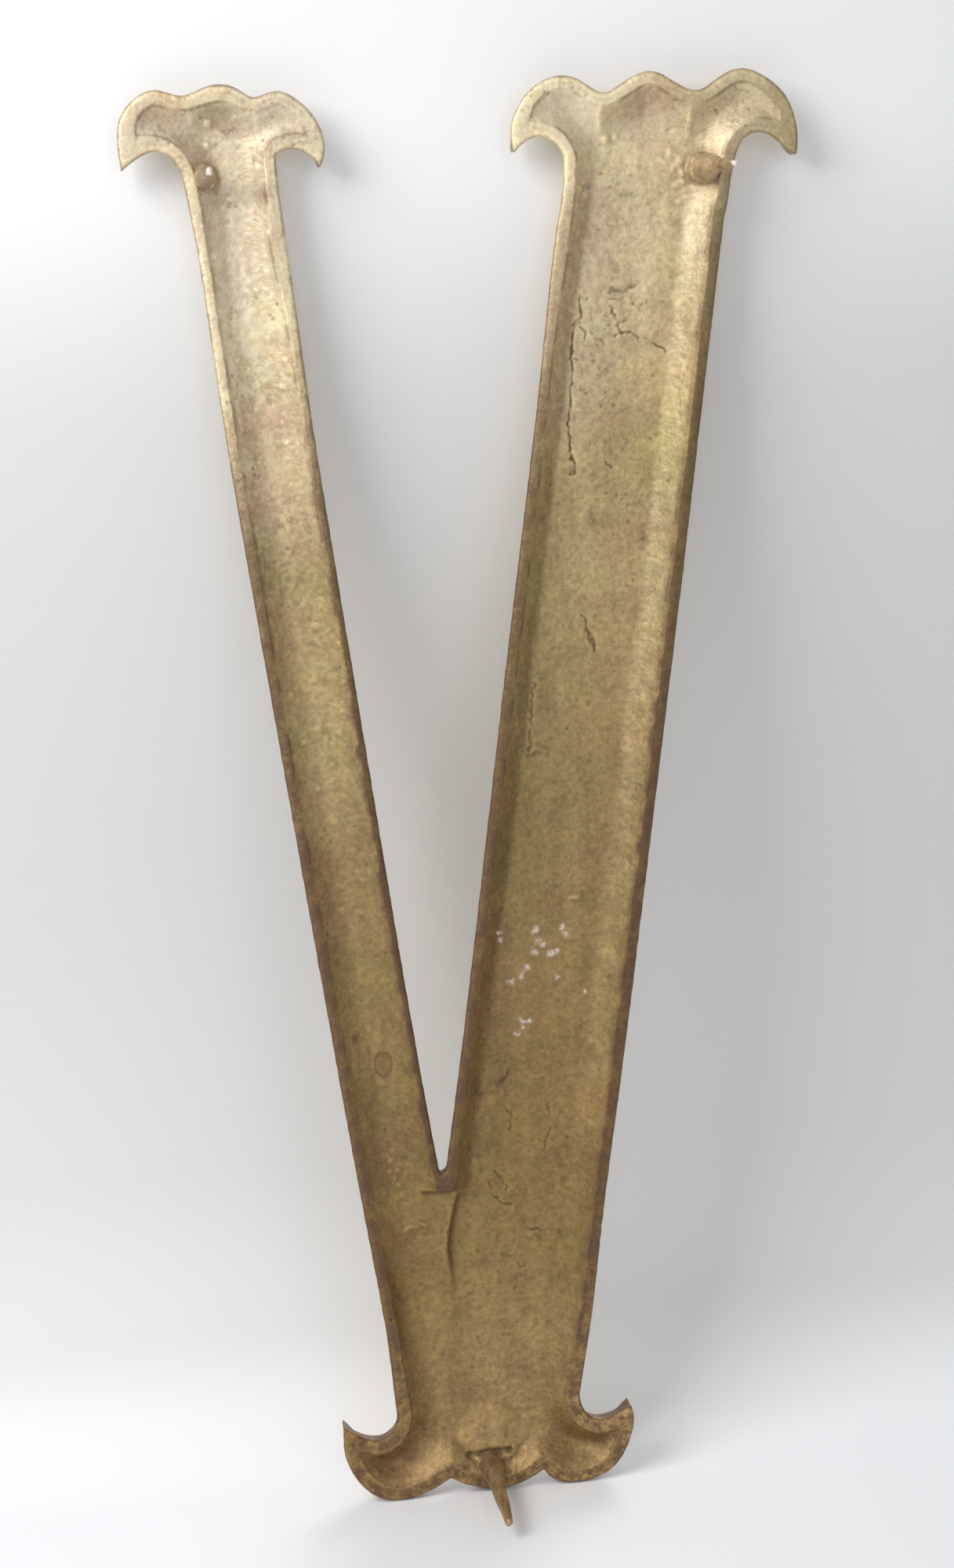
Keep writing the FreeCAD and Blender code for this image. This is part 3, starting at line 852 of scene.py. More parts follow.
def add_relief_masks(mesh):
    """Masks for high spots, lightened as worn metal and painted highlight, and for low spots,
    darkened, from how the surface bends.
    """
    count = len(mesh.vertices)
    place = np.empty(count * 3)
    mesh.vertices.foreach_get("co", place)
    place = place.reshape(-1, 3)
    normal = np.empty(count * 3)
    mesh.vertex_normals.foreach_get("vector", normal)
    normal = normal.reshape(-1, 3)
    ends = np.empty(len(mesh.edges) * 2, int)
    mesh.edges.foreach_get("vertices", ends)
    ends = ends.reshape(-1, 2)
    total = np.zeros((count, 3))
    number = np.zeros(count)
    for here, there in ((0, 1), (1, 0)):
        np.add.at(total, ends[:, here], place[ends[:, there]])
        np.add.at(number, ends[:, here], 1.0)
    bend = np.sum((place - total / number[:, None]) * normal, axis=1) / MM
    for _ in range(2):
        spread = np.zeros(count)
        for here, there in ((0, 1), (1, 0)):
            np.add.at(spread, ends[:, here], bend[ends[:, there]])
        bend = 0.5 * bend + 0.5 * spread / number
    # High spots are lightened: worn metal and painted highlight.
    add_mask(mesh, "rubbed_and_highlit", bend / 0.07)
    # Low spots are darkened.
    add_mask(mesh, "cavity", -bend / 0.10)


# ------------------------------------------------------------------ spikes and beads
SPIKES = (                      # name, place, root radius, tip radius, reach, lean
    ("thin_stroke", (-93.2, 574.2), 3.2, 1.5, 49.6, (0.1, 0.2)),
    ("thick_stroke", (111.5, 570.8), 3.7, 1.3, 49.8, (0.0, -0.6)),
    ("foot", (0.0, FOOT_SPIKE_UP), 4.7, 1.65, 49.2, (0.2, -2.4)))
BEADS = (                       # name, radius at the boss, how far it climbs, how full it is
    ("thin_stroke", 4.6, 15.0, 0.62), ("thick_stroke", 5.9, 16.0, 0.7), ("foot", 5.5, 13.0, 0.6))


SPIKE_START = 4.0               # depth inside the boss where a spike begins
BEAD_START = 2.2                # and where its bead begins


def lathe(name, levels, sides, rough, seed):
    """A hand-worked round bar. levels: depth, radius, centre across, centre up."""
    phase = np.random.default_rng(seed).uniform(0.0, 2.0 * math.pi, 4)
    angles = np.arange(sides) * 2.0 * math.pi / sides
    points = []
    for depth, radius, across, up in levels:
        uneven = (
            0.5 * np.cos(2.0 * angles + phase[0] + 0.11 * depth)
            + 0.3 * np.cos(3.0 * angles + phase[1] - 0.17 * depth)
            + 0.2 * np.cos(5.0 * angles + phase[2] + 0.30 * depth)
            + 0.2 * math.cos(phase[3] + 0.35 * depth))
        swell = radius + min(rough, 0.22 * radius) * uneven
        points.append(mesh_points(
            across + swell * np.cos(angles), up + swell * np.sin(angles), np.full(sides, depth)))
    points = np.vstack(points)
    faces = []
    for row in range(len(levels) - 1):
        for side in range(sides):
            after = (side + 1) % sides
            faces.append((
                row * sides + side, row * sides + after,
                (row + 1) * sides + after, (row + 1) * sides + side))
    faces.append(tuple(range(sides)))
    faces.append(tuple((len(levels) - 1) * sides + side for side in reversed(range(sides))))
    mesh = bpy.data.meshes.new(name)
    mesh.from_pydata(points, [], faces)
    mesh.update()
    piece = bpy.data.objects.new(name, mesh)
    bpy.context.scene.collection.objects.link(piece)
    close_and_smooth(piece)
    return piece


def leaning(place, lean, reach, depth):
    """Where a spike's axis is at a depth. It leans more the further it stands out."""
    out = (max(0.0, -depth) / reach) ** 1.3
    return place[0] + lean[0] * out, place[1] + lean[1] * out


def make_spike(name, place, root, tip, reach, lean, seed):
    """A forged taper from inside its boss to a blunt round tip."""
    levels = []
    shank = 56
    for i in range(shank + 1):
        share = i / shank
        depth = SPIKE_START - (SPIKE_START + reach - tip) * share
        radius = root + (tip - root) * share ** 0.9
        levels.append((depth, radius, *leaning(place, lean, reach, depth)))
    last = levels[-1]
    for i in range(1, 8):
        angle = i / 8.0 * math.pi / 2.0
        depth = last[0] - tip * math.sin(angle)
        levels.append((depth, tip * math.cos(angle) + 0.02, last[2], last[3]))
    piece = lathe("forged_spike_" + name, levels, 40, 0.34, seed)
    # The thin and thick spikes' ends are lightened: worn metal and a painted highlight. The foot's
    # end is only tinted.
    bright = 0.3 if name == "foot" else 1.0
    tip_wear_and_highlight = np.array([
        bright * smooth(-reach + 4.5, -reach + 0.5, v.co.y / MM) for v in piece.data.vertices])
    add_mask(piece.data, "tip", tip_wear_and_highlight)
    add_relief_masks(piece.data)
    return piece


def make_bead(name, spike, flat, rise, full, seed):
    """A soft bead of spelter that climbs from the boss onto the spike."""
    _, place, root, tip, reach, lean = spike
    levels = []
    for i in range(45):
        share = i / 44.0
        depth = BEAD_START - (rise + BEAD_START) * share
        along = (SPIKE_START - depth) / (SPIKE_START + reach - tip)
        bar = root + (tip - root) * along ** 0.9
        radius = bar - 0.2 + (flat - bar + 0.2) * (1.0 - share ** 1.25) ** (1.0 / full)
        levels.append((depth, radius, *leaning(place, lean, reach, depth)))
    piece = lathe("spelter_bead_" + name, levels, 72, 0.36, seed)
    add_relief_masks(piece.data)
    return piece


# ------------------------------------------------------------------ finishes
def aged_cast_brass():
    """Sand-cast brass, dull and mottled: cream at the heads to olive brown at the foot, partly its
    own tone and partly painted light from above and the left.
    """
    material = bpy.data.materials.new("aged_cast_brass")
    material.use_nodes = True
    nodes = material.node_tree.nodes
    links = material.node_tree.links
    nodes.clear()

    output = nodes.new("ShaderNodeOutputMaterial")
    output.label = "Letter surface"
    skin = nodes.new("ShaderNodeBsdfPrincipled")
    skin.label = "Dull brass skin"
    place = nodes.new("ShaderNodeTexCoord")
    place.label = "Place on the letter"
    split = nodes.new("ShaderNodeSeparateXYZ")
    split.label = "Height up the letter"
    lean = nodes.new("ShaderNodeVectorMath")
    lean.label = "Height, paler towards the thin stroke"

    ageing = nodes.new("ShaderNodeTexNoise")
    ageing.label = "Ageing runs unevenly"
    aged_height = nodes.new("ShaderNodeMath")
    aged_height.label = "Height shifted by ageing"
    share_up = nodes.new("ShaderNodeMapRange")
    share_up.label = "Foot to heads"
    tone = nodes.new("ShaderNodeValToRGB")
    tone.label = "Olive foot to cream heads"
    tone_frame = nodes.new("NodeFrame")
    tone_frame.label = "Tone from foot to heads"
    for node in (split, lean, ageing, aged_height, share_up, tone):
        node.parent = tone_frame

    patches = nodes.new("ShaderNodeTexNoise")
    patches.label = "Copper and olive patches"
    patch_tint = nodes.new("ShaderNodeValToRGB")
    patch_tint.label = "Patch tints"
    patched = nodes.new("ShaderNodeMix")
    patched.label = "Patches over the tone"
    blotches = nodes.new("ShaderNodeTexNoise")
    blotches.label = "Brown and golden blotches"
    blotch_tint = nodes.new("ShaderNodeValToRGB")
    blotch_tint.label = "Blotch tints"
    blotched = nodes.new("ShaderNodeMix")
    blotched.label = "Blotches over the patches"
    drawn_out = nodes.new("ShaderNodeMapping")
    drawn_out.label = "Drawn out along the strokes"
    streaks = nodes.new("ShaderNodeTexNoise")
    streaks.label = "Wiped streaks"
    streak_tint = nodes.new("ShaderNodeValToRGB")
    streak_tint.label = "Streaks light and dark"
    streaked = nodes.new("ShaderNodeMix")
    streaked.label = "Streaks over the blotches"
    mottle = nodes.new("ShaderNodeTexNoise")
    mottle.label = "Small mottling"
    mottle_tint = nodes.new("ShaderNodeValToRGB")
    mottle_tint.label = "Mottling light and dark"
    mottled = nodes.new("ShaderNodeMix")
    mottled.label = "Mottling over the streaks"
    grain = nodes.new("ShaderNodeTexNoise")
    grain.label = "Sand grain"
    grain_tint = nodes.new("ShaderNodeValToRGB")
    grain_tint.label = "Dirt between the grains"
    grained = nodes.new("ShaderNodeMix")
    grained.label = "Grain over the mottling"
    patch_frame = nodes.new("NodeFrame")
    patch_frame.label = "Patches, blotches, streaks, mottling and grain"
    for node in (patches, patch_tint, patched, blotches, blotch_tint, blotched, drawn_out,
                 streaks, streak_tint, streaked, mottle, mottle_tint, mottled,
                 grain, grain_tint, grained):
        node.parent = patch_frame

    rim = nodes.new("ShaderNodeAttribute")
    rim.label = "Filed rim"
    bright_up = nodes.new("ShaderNodeMapRange")
    bright_up.label = "Rims stay bright in the heads"
    rim_tint = nodes.new("ShaderNodeValToRGB")
    rim_tint.label = "Brown rims to bright rims"
    bright_rim = nodes.new("ShaderNodeMix")
    bright_rim.label = "Filed rim by height"
    tarnish_up = nodes.new("ShaderNodeMapRange")
    tarnish_up.label = "Tarnish grows downwards"
    tarnish = nodes.new("ShaderNodeTexNoise")
    tarnish.label = "Broken tarnish"
    tarnish_edge = nodes.new("ShaderNodeMapRange")
    tarnish_edge.label = "Edges of the tarnish"
    tarnish_low = nodes.new("ShaderNodeMath")
    tarnish_low.label = "Tarnish by height"
    tarnish_share = nodes.new("ShaderNodeMath")
    tarnish_share.label = "Tarnish on the rim only"
    tarnished = nodes.new("ShaderNodeMix")
    tarnished.label = "Red-brown tarnish"
    rim_frame = nodes.new("NodeFrame")
    rim_frame.label = "Rim: bright above, tarnished below"
    for node in (rim, bright_up, rim_tint, bright_rim, tarnish_up, tarnish, tarnish_edge,
                 tarnish_low, tarnish_share, tarnished):
        node.parent = rim_frame

    # Painted shade along the rim's inner edge, with dirt along its outer edge.
    rim_edge_shade_and_dirt = nodes.new("ShaderNodeAttribute")
    rim_edge_shade_and_dirt.label = "Inner edge of the rim"
    crease_up = nodes.new("ShaderNodeMapRange")
    crease_up.label = "Painted shade darkens downwards"
    crease_share = nodes.new("ShaderNodeMath")
    crease_share.label = "How dark the crease is"
    creased = nodes.new("ShaderNodeMix")
    creased.label = "Painted shade and dirt at the rim's edges"
    crease_frame = nodes.new("NodeFrame")
    crease_frame.label = "Painted shade and dirt at the rim"
    for node in (rim_edge_shade_and_dirt, crease_up, crease_share, creased):
        node.parent = crease_frame

    side = nodes.new("ShaderNodeAttribute")
    side.label = "Outer side"
    side_patches = nodes.new("ShaderNodeTexNoise")
    side_patches.label = "Plum stains down the side"
    side_edge = nodes.new("ShaderNodeMapRange")
    side_edge.label = "Edges of the stains"
    side_share = nodes.new("ShaderNodeMath")
    side_share.label = "Stains on the side only"
    sided = nodes.new("ShaderNodeMix")
    sided.label = "Plum-brown side"
    side_frame = nodes.new("NodeFrame")
    side_frame.label = "Stained side"
    for node in (side, side_patches, side_edge, side_share, sided):
        node.parent = side_frame

    reading = nodes.new("ShaderNodeAttribute")
    reading.label = "Reading face"
    reading_share = nodes.new("ShaderNodeMath")
    reading_share.label = "How much polish is left"
    polished = nodes.new("ShaderNodeMix")
    polished.label = "Warmer, once polished brass"
    reading_frame = nodes.new("NodeFrame")
    reading_frame.label = "Reading face"
    for node in (reading, reading_share, polished):
        node.parent = reading_frame

    # Low spots are darkened.
    cavity = nodes.new("ShaderNodeAttribute")
    cavity.label = "Low spots"
    cavity_share = nodes.new("ShaderNodeMath")
    cavity_share.label = "How much darker they are"
    darker_low_spots = nodes.new("ShaderNodeMix")
    darker_low_spots.label = "Darker in the low spots"
    # High spots lightened: worn metal and painted highlight.
    rubbed_and_highlit = nodes.new("ShaderNodeAttribute")
    rubbed_and_highlit.label = "High spots"
    rubbed_share = nodes.new("ShaderNodeMath")
    rubbed_share.label = "How far they are rubbed"
    worn = nodes.new("ShaderNodeMix")
    worn.label = "Rubbed high spots with painted highlights"
    # Painted light on the thick stroke's outer wall and the thick head's right slope.
    painted_light_wall = nodes.new("ShaderNodeAttribute")
    painted_light_wall.label = "Outer wall of the thick stroke"
    painted_wall_light = nodes.new("ShaderNodeMix")
    painted_wall_light.label = "Painted light on the outer wall"
    wear_frame = nodes.new("NodeFrame")
    wear_frame.label = "Darker low spots, wear and painted light"
    for node in (cavity, cavity_share, darker_low_spots, rubbed_and_highlit, rubbed_share, worn, painted_light_wall, painted_wall_light):
        node.parent = wear_frame

    specks = nodes.new("ShaderNodeTexVoronoi")
    specks.label = "Dark specks"
    speck_edge = nodes.new("ShaderNodeMapRange")
    speck_edge.label = "Size of a speck"
    speck_room = nodes.new("ShaderNodeTexNoise")
    speck_room.label = "Where specks gather"
    speck_room_edge = nodes.new("ShaderNodeMapRange")
    speck_room_edge.label = "Edges of the gatherings"
    speck_share = nodes.new("ShaderNodeMath")
    speck_share.label = "Specks in their gatherings"
    specked = nodes.new("ShaderNodeMix")
    specked.label = "Specks on the skin"
    speck_frame = nodes.new("NodeFrame")
    speck_frame.label = "Specks"
    for node in (specks, speck_edge, speck_room, speck_room_edge, speck_share, specked):
        node.parent = speck_frame

    meander = nodes.new("ShaderNodeTexNoise")
    meander.label = "Edges of dried wetness"
    off_line = nodes.new("ShaderNodeMath")
    off_line.label = "How far off the line"
    off_size = nodes.new("ShaderNodeMath")
    off_size.label = "On either side of it"
    hairline = nodes.new("ShaderNodeMapRange")
    hairline.label = "Width of a hairline"
    hair_room = nodes.new("ShaderNodeMapRange")
    hair_room.label = "Where hairlines show"
    hair_share = nodes.new("ShaderNodeMath")
    hair_share.label = "Broken hairlines"
    haired = nodes.new("ShaderNodeMix")
    haired.label = "Hairlines on the skin"
    hair_frame = nodes.new("NodeFrame")
    hair_frame.label = "Hairline stains"
    for node in (meander, off_line, off_size, hairline, hair_room, hair_share, haired):
        node.parent = hair_frame

    # Dark smudges, with painted shade in the slot, along the shelf and under the web.
    smudge_and_shade = nodes.new("ShaderNodeAttribute")
    smudge_and_shade.label = "Dark smudges and painted shade"
    smudge_broken = nodes.new("ShaderNodeMapRange")
    smudge_broken.label = "Smudges and painted shade break up"
    smudge_share = nodes.new("ShaderNodeMath")
    smudge_share.label = "How dark a smudge is"
    smudged = nodes.new("ShaderNodeMix")
    smudged.label = "Smudges and painted shade on the skin"
    stain = nodes.new("ShaderNodeAttribute")
    stain.label = "Dried drop"
    stained = nodes.new("ShaderNodeMix")
    stained.label = "Ring left by a drop"
    crack = nodes.new("ShaderNodeAttribute")
    crack.label = "Casting cracks"
    cracked = nodes.new("ShaderNodeMix")
    cracked.label = "Dark cracks"
    deposit = nodes.new("ShaderNodeAttribute")
    deposit.label = "Pale crusts"
    crust_grain = nodes.new("ShaderNodeTexNoise")
    crust_grain.label = "Crumbly crust"
    crust_share = nodes.new("ShaderNodeMath")
    crust_share.label = "Crust with crumbly edges"
    crust_edge = nodes.new("ShaderNodeMapRange")
    crust_edge.label = "Edge of a crust"
    crusted = nodes.new("ShaderNodeMix")
    crusted.label = "Crusts on the skin"
    marks_frame = nodes.new("NodeFrame")
    marks_frame.label = "Smudges and painted shade, drop, cracks and crusts"
    for node in (smudge_and_shade, smudge_broken, smudge_share, smudged, stain, stained, crack, cracked,
                 deposit, crust_grain, crust_share, crust_edge, crusted):
        node.parent = marks_frame

    dull = nodes.new("ShaderNodeMapRange")
    dull.label = "Dull and less dull patches"
    dull_crust = nodes.new("ShaderNodeMath")
    dull_crust.label = "Crusts are chalky"
    metal = nodes.new("ShaderNodeMath")
    metal.label = "No metal shows under a crust"
    gloss_frame = nodes.new("NodeFrame")
    gloss_frame.label = "Gloss"
    for node in (dull, dull_crust, metal):
        node.parent = gloss_frame

    grain_bump = nodes.new("ShaderNodeBump")
    grain_bump.label = "Grain stands up"
    mottle_bump = nodes.new("ShaderNodeBump")
    mottle_bump.label = "Soft unevenness"
    speck_bump = nodes.new("ShaderNodeBump")
    speck_bump.label = "Specks are pits"
    bump_frame = nodes.new("NodeFrame")
    bump_frame.label = "Fine relief"
    for node in (grain_bump, mottle_bump, speck_bump):
        node.parent = bump_frame

    columns = (
        (place, rim, rim_edge_shade_and_dirt, side, reading, cavity, rubbed_and_highlit, painted_light_wall, smudge_and_shade, stain, crack,
         deposit),
        (split, lean, ageing, patches, blotches, drawn_out, mottle, grain, tarnish, side_patches,
         specks, speck_room, meander, crust_grain),
        (aged_height, share_up, streaks, off_line, off_size, hairline, hair_room, bright_up,
         tarnish_up, tarnish_edge, crease_up, side_edge, speck_edge, speck_room_edge,
         smudge_broken, crust_share, crust_edge),
        (tone, patch_tint, blotch_tint, streak_tint, mottle_tint, grain_tint, rim_tint,
         tarnish_low, tarnish_share, crease_share, side_share, reading_share, speck_share,
         smudge_share),
        (patched, blotched, streaked, mottled, grained, bright_rim, tarnished, creased, sided,
         polished, cavity_share, rubbed_share),
        (darker_low_spots, worn, painted_wall_light, specked, hair_share, haired, smudged, stained, cracked, crusted),
        (dull, dull_crust, metal, grain_bump, mottle_bump, speck_bump),
        (skin, output))
    for column, members in enumerate(columns):
        for row, node in enumerate(members):
            node.location = (column * 260.0, row * -300.0)

    # Partly painted light: the tone pales upwards and towards the thin stroke, as light from the
    # upper left falls; the rest is the brass's own tone.
    lean.operation = "DOT_PRODUCT"
    lean.inputs[1].default_value = (-0.6, 0.0, 1.0)
    ageing.inputs["Scale"].default_value = 7.0
    ageing.inputs["Detail"].default_value = 3.0
    aged_height.operation = "MULTIPLY_ADD"
    aged_height.inputs[1].default_value = 0.16
    share_up.inputs["From Min"].default_value = 0.067
    share_up.inputs["From Max"].default_value = 0.677
    tone.color_ramp.interpolation = "EASE"
    tone.color_ramp.elements[0].position = 0.0
    tone.color_ramp.elements[0].color = (0.372, 0.262, 0.124, 1.0)
    tone.color_ramp.elements[1].position = 1.0
    tone.color_ramp.elements[1].color = (0.65, 0.565, 0.465, 1.0)
    for position, colour in (
            (0.22, (0.255, 0.178, 0.072, 1.0)), (0.45, (0.287, 0.208, 0.097, 1.0)),
            (0.66, (0.415, 0.330, 0.176, 1.0)), (0.84, (0.600, 0.505, 0.362, 1.0)),
            (0.915, (0.75, 0.665, 0.535, 1.0))):
        tone.color_ramp.elements.new(position).color = colour

    patches.inputs["Scale"].default_value = 17.0
    patches.inputs["Detail"].default_value = 5.0
    patches.inputs["Roughness"].default_value = 0.62
    patches.inputs["Distortion"].default_value = 0.6
    patch_tint.color_ramp.elements[0].position = 0.34
    patch_tint.color_ramp.elements[0].color = (0.45, 0.47, 0.38, 1.0)
    patch_tint.color_ramp.elements[1].position = 0.66
    patch_tint.color_ramp.elements[1].color = (0.57, 0.49, 0.48, 1.0)
    patch_tint.color_ramp.elements.new(0.50).color = (0.50, 0.50, 0.49, 1.0)
    patched.data_type = "RGBA"
    patched.blend_type = "OVERLAY"
    patched.inputs[0].default_value = 0.55
    blotches.inputs["Scale"].default_value = 62.0
    blotches.inputs["Detail"].default_value = 5.0
    blotches.inputs["Roughness"].default_value = 0.62
    blotch_tint.color_ramp.elements[0].position = 0.36
    blotch_tint.color_ramp.elements[0].color = (0.56, 0.55, 0.48, 1.0)
    blotch_tint.color_ramp.elements[1].position = 0.64
    blotch_tint.color_ramp.elements[1].color = (0.42, 0.38, 0.37, 1.0)
    blotch_tint.color_ramp.elements.new(0.50).color = (0.50, 0.50, 0.48, 1.0)
    blotched.data_type = "RGBA"
    blotched.blend_type = "OVERLAY"
    blotched.inputs[0].default_value = 0.6
    drawn_out.inputs["Scale"].default_value = (1.0, 1.0, 0.07)
    streaks.inputs["Scale"].default_value = 150.0
    streaks.inputs["Detail"].default_value = 4.0
    streak_tint.color_ramp.elements[0].position = 0.36
    streak_tint.color_ramp.elements[0].color = (0.42, 0.40, 0.36, 1.0)
    streak_tint.color_ramp.elements[1].position = 0.64
    streak_tint.color_ramp.elements[1].color = (0.57, 0.57, 0.55, 1.0)
    streaked.data_type = "RGBA"
    streaked.blend_type = "OVERLAY"
    streaked.inputs[0].default_value = 0.4
    mottle.inputs["Scale"].default_value = 210.0
    mottle.inputs["Detail"].default_value = 4.0
    mottle.inputs["Roughness"].default_value = 0.6
    mottle_tint.color_ramp.elements[0].position = 0.32
    mottle_tint.color_ramp.elements[0].color = (0.34, 0.31, 0.28, 1.0)
    mottle_tint.color_ramp.elements[1].position = 0.68
    mottle_tint.color_ramp.elements[1].color = (0.66, 0.65, 0.62, 1.0)
    mottled.data_type = "RGBA"
    mottled.blend_type = "OVERLAY"
    mottled.inputs[0].default_value = 0.30
    grain.inputs["Scale"].default_value = 540.0
    grain.inputs["Detail"].default_value = 3.0
    grain.inputs["Roughness"].default_value = 0.6
    grain_tint.color_ramp.elements[0].position = 0.30
    grain_tint.color_ramp.elements[0].color = (0.30, 0.26, 0.22, 1.0)
    grain_tint.color_ramp.elements[1].position = 0.62
    grain_tint.color_ramp.elements[1].color = (0.60, 0.59, 0.57, 1.0)
    grained.data_type = "RGBA"
    grained.blend_type = "OVERLAY"
    grained.inputs[0].default_value = 0.45

    rim.attribute_name = "rim"
    bright_up.inputs["From Min"].default_value = 0.067
    bright_up.inputs["From Max"].default_value = 0.66
    rim_tint.color_ramp.elements[0].color = (0.98, 0.94, 0.86, 1.0)
    rim_tint.color_ramp.elements[1].color = (0.98, 0.98, 0.94, 1.0)
    rim_tint.color_ramp.elements[1].position = 0.92
    rim_tint.color_ramp.elements.new(0.14).color = (0.72, 0.69, 0.60, 1.0)
    rim_tint.color_ramp.elements.new(0.60).color = (0.46, 0.41, 0.35, 1.0)
    rim_tint.color_ramp.elements.new(0.78).color = (0.45, 0.425, 0.37, 1.0)
    bright_rim.data_type = "RGBA"
    bright_rim.blend_type = "MULTIPLY"
    tarnish_up.inputs["From Min"].default_value = 0.53
    tarnish_up.inputs["From Max"].default_value = 0.30
    tarnish_up.inputs["To Min"].default_value = 0.12
    tarnish_up.inputs["To Max"].default_value = 0.82
    tarnish.inputs["Scale"].default_value = 150.0
    tarnish.inputs["Detail"].default_value = 6.0
    tarnish.inputs["Roughness"].default_value = 0.82
    tarnish_edge.inputs["From Min"].default_value = 0.43
    tarnish_edge.inputs["From Max"].default_value = 0.56
    tarnish_low.operation = "MULTIPLY"
    tarnish_share.operation = "MULTIPLY"
    tarnished.data_type = "RGBA"
    tarnished.inputs["B"].default_value = (0.105, 0.052, 0.034, 1.0)

    rim_edge_shade_and_dirt.attribute_name = "rim_edge_shade_and_dirt"
    crease_up.inputs["From Min"].default_value = 0.55
    crease_up.inputs["From Max"].default_value = 0.25
    crease_up.inputs["To Min"].default_value = 0.5
    crease_up.inputs["To Max"].default_value = 0.85
    crease_share.operation = "MULTIPLY"
    creased.data_type = "RGBA"
    creased.inputs["B"].default_value = (0.10, 0.055, 0.035, 1.0)

    side.attribute_name = "side"
    side_patches.inputs["Scale"].default_value = 26.0
    side_patches.inputs["Detail"].default_value = 5.0
    side_patches.inputs["Roughness"].default_value = 0.7
    side_edge.inputs["From Min"].default_value = 0.36
    side_edge.inputs["From Max"].default_value = 0.62
    side_edge.inputs["To Min"].default_value = 0.35
    side_edge.inputs["To Max"].default_value = 0.9
    side_share.operation = "MULTIPLY"
    sided.data_type = "RGBA"
    sided.inputs["B"].default_value = (0.13, 0.075, 0.058, 1.0)

    reading.attribute_name = "reading_face"
    reading_share.operation = "MULTIPLY"
    reading_share.inputs[1].default_value = 0.55
    polished.data_type = "RGBA"
    polished.inputs["B"].default_value = (0.62, 0.44, 0.19, 1.0)

    cavity.attribute_name = "cavity"
    cavity_share.operation = "MULTIPLY"
    cavity_share.inputs[1].default_value = 0.55
    darker_low_spots.data_type = "RGBA"
    darker_low_spots.blend_type = "MULTIPLY"
    darker_low_spots.inputs["B"].default_value = (0.36, 0.27, 0.19, 1.0)
    rubbed_and_highlit.attribute_name = "rubbed_and_highlit"
    rubbed_share.operation = "MULTIPLY"
    rubbed_share.inputs[1].default_value = 0.36
    worn.data_type = "RGBA"
    worn.blend_type = "MULTIPLY"
    worn.inputs["B"].default_value = (1.65, 1.60, 1.48, 1.0)

    # Painted light: the outer wall's colour is lightened and cooled.
    painted_light_wall.attribute_name = "painted_light_wall"
    painted_wall_light.data_type = "RGBA"
    painted_wall_light.blend_type = "MULTIPLY"
    painted_wall_light.inputs["B"].default_value = (1.18, 1.25, 1.38, 1.0)

    specks.inputs["Scale"].default_value = 240.0
    speck_edge.inputs["From Min"].default_value = 0.28
    speck_edge.inputs["From Max"].default_value = 0.05
    speck_room.inputs["Scale"].default_value = 60.0
    speck_room.inputs["Detail"].default_value = 3.0
    speck_room_edge.inputs["From Min"].default_value = 0.50
    speck_room_edge.inputs["From Max"].default_value = 0.62
    speck_room_edge.inputs["To Max"].default_value = 0.62
    speck_share.operation = "MULTIPLY"
    specked.data_type = "RGBA"
    specked.inputs["B"].default_value = (0.10, 0.065, 0.040, 1.0)

    meander.inputs["Scale"].default_value = 38.0
    meander.inputs["Detail"].default_value = 7.0
    meander.inputs["Roughness"].default_value = 0.62
    meander.inputs["Distortion"].default_value = 0.7
    off_line.operation = "SUBTRACT"
    off_line.inputs[1].default_value = 0.5
    off_size.operation = "ABSOLUTE"
    hairline.inputs["From Min"].default_value = 0.010
    hairline.inputs["From Max"].default_value = 0.0
    hair_room.inputs["From Min"].default_value = 0.50
    hair_room.inputs["From Max"].default_value = 0.60
    hair_room.inputs["To Max"].default_value = 0.42
    hair_share.operation = "MULTIPLY"
    haired.data_type = "RGBA"
    haired.inputs["B"].default_value = (0.12, 0.070, 0.040, 1.0)

    smudge_and_shade.attribute_name = "smudge_and_shade"
    smudge_broken.inputs["From Min"].default_value = 0.36
    smudge_broken.inputs["From Max"].default_value = 0.62
    smudge_broken.inputs["To Min"].default_value = 0.25
    smudge_broken.inputs["To Max"].default_value = 0.85
    smudge_share.operation = "MULTIPLY"
    smudged.data_type = "RGBA"
    smudged.inputs["B"].default_value = (0.075, 0.046, 0.028, 1.0)
    stain.attribute_name = "stain"
    stained.data_type = "RGBA"
    stained.inputs["B"].default_value = (0.15, 0.085, 0.035, 1.0)
    crack.attribute_name = "crack"
    cracked.data_type = "RGBA"
    cracked.inputs["B"].default_value = (0.050, 0.030, 0.018, 1.0)
    deposit.attribute_name = "deposit"
    crust_grain.inputs["Scale"].default_value = 700.0
    crust_grain.inputs["Detail"].default_value = 3.0
    crust_share.operation = "MULTIPLY"
    crust_edge.inputs["From Min"].default_value = 0.18
    crust_edge.inputs["From Max"].default_value = 0.62
    crusted.data_type = "RGBA"
    crusted.inputs["B"].default_value = (0.66, 0.57, 0.50, 1.0)

    dull.inputs["From Min"].default_value = 0.3
    dull.inputs["From Max"].default_value = 0.7
    dull.inputs["To Min"].default_value = 0.46
    dull.inputs["To Max"].default_value = 0.60
    dull_crust.operation = "MULTIPLY_ADD"
    dull_crust.inputs[1].default_value = 0.35
    metal.operation = "MULTIPLY_ADD"
    metal.inputs[1].default_value = -0.45
    metal.inputs[2].default_value = 0.5
    skin.inputs["Specular IOR Level"].default_value = 0.45

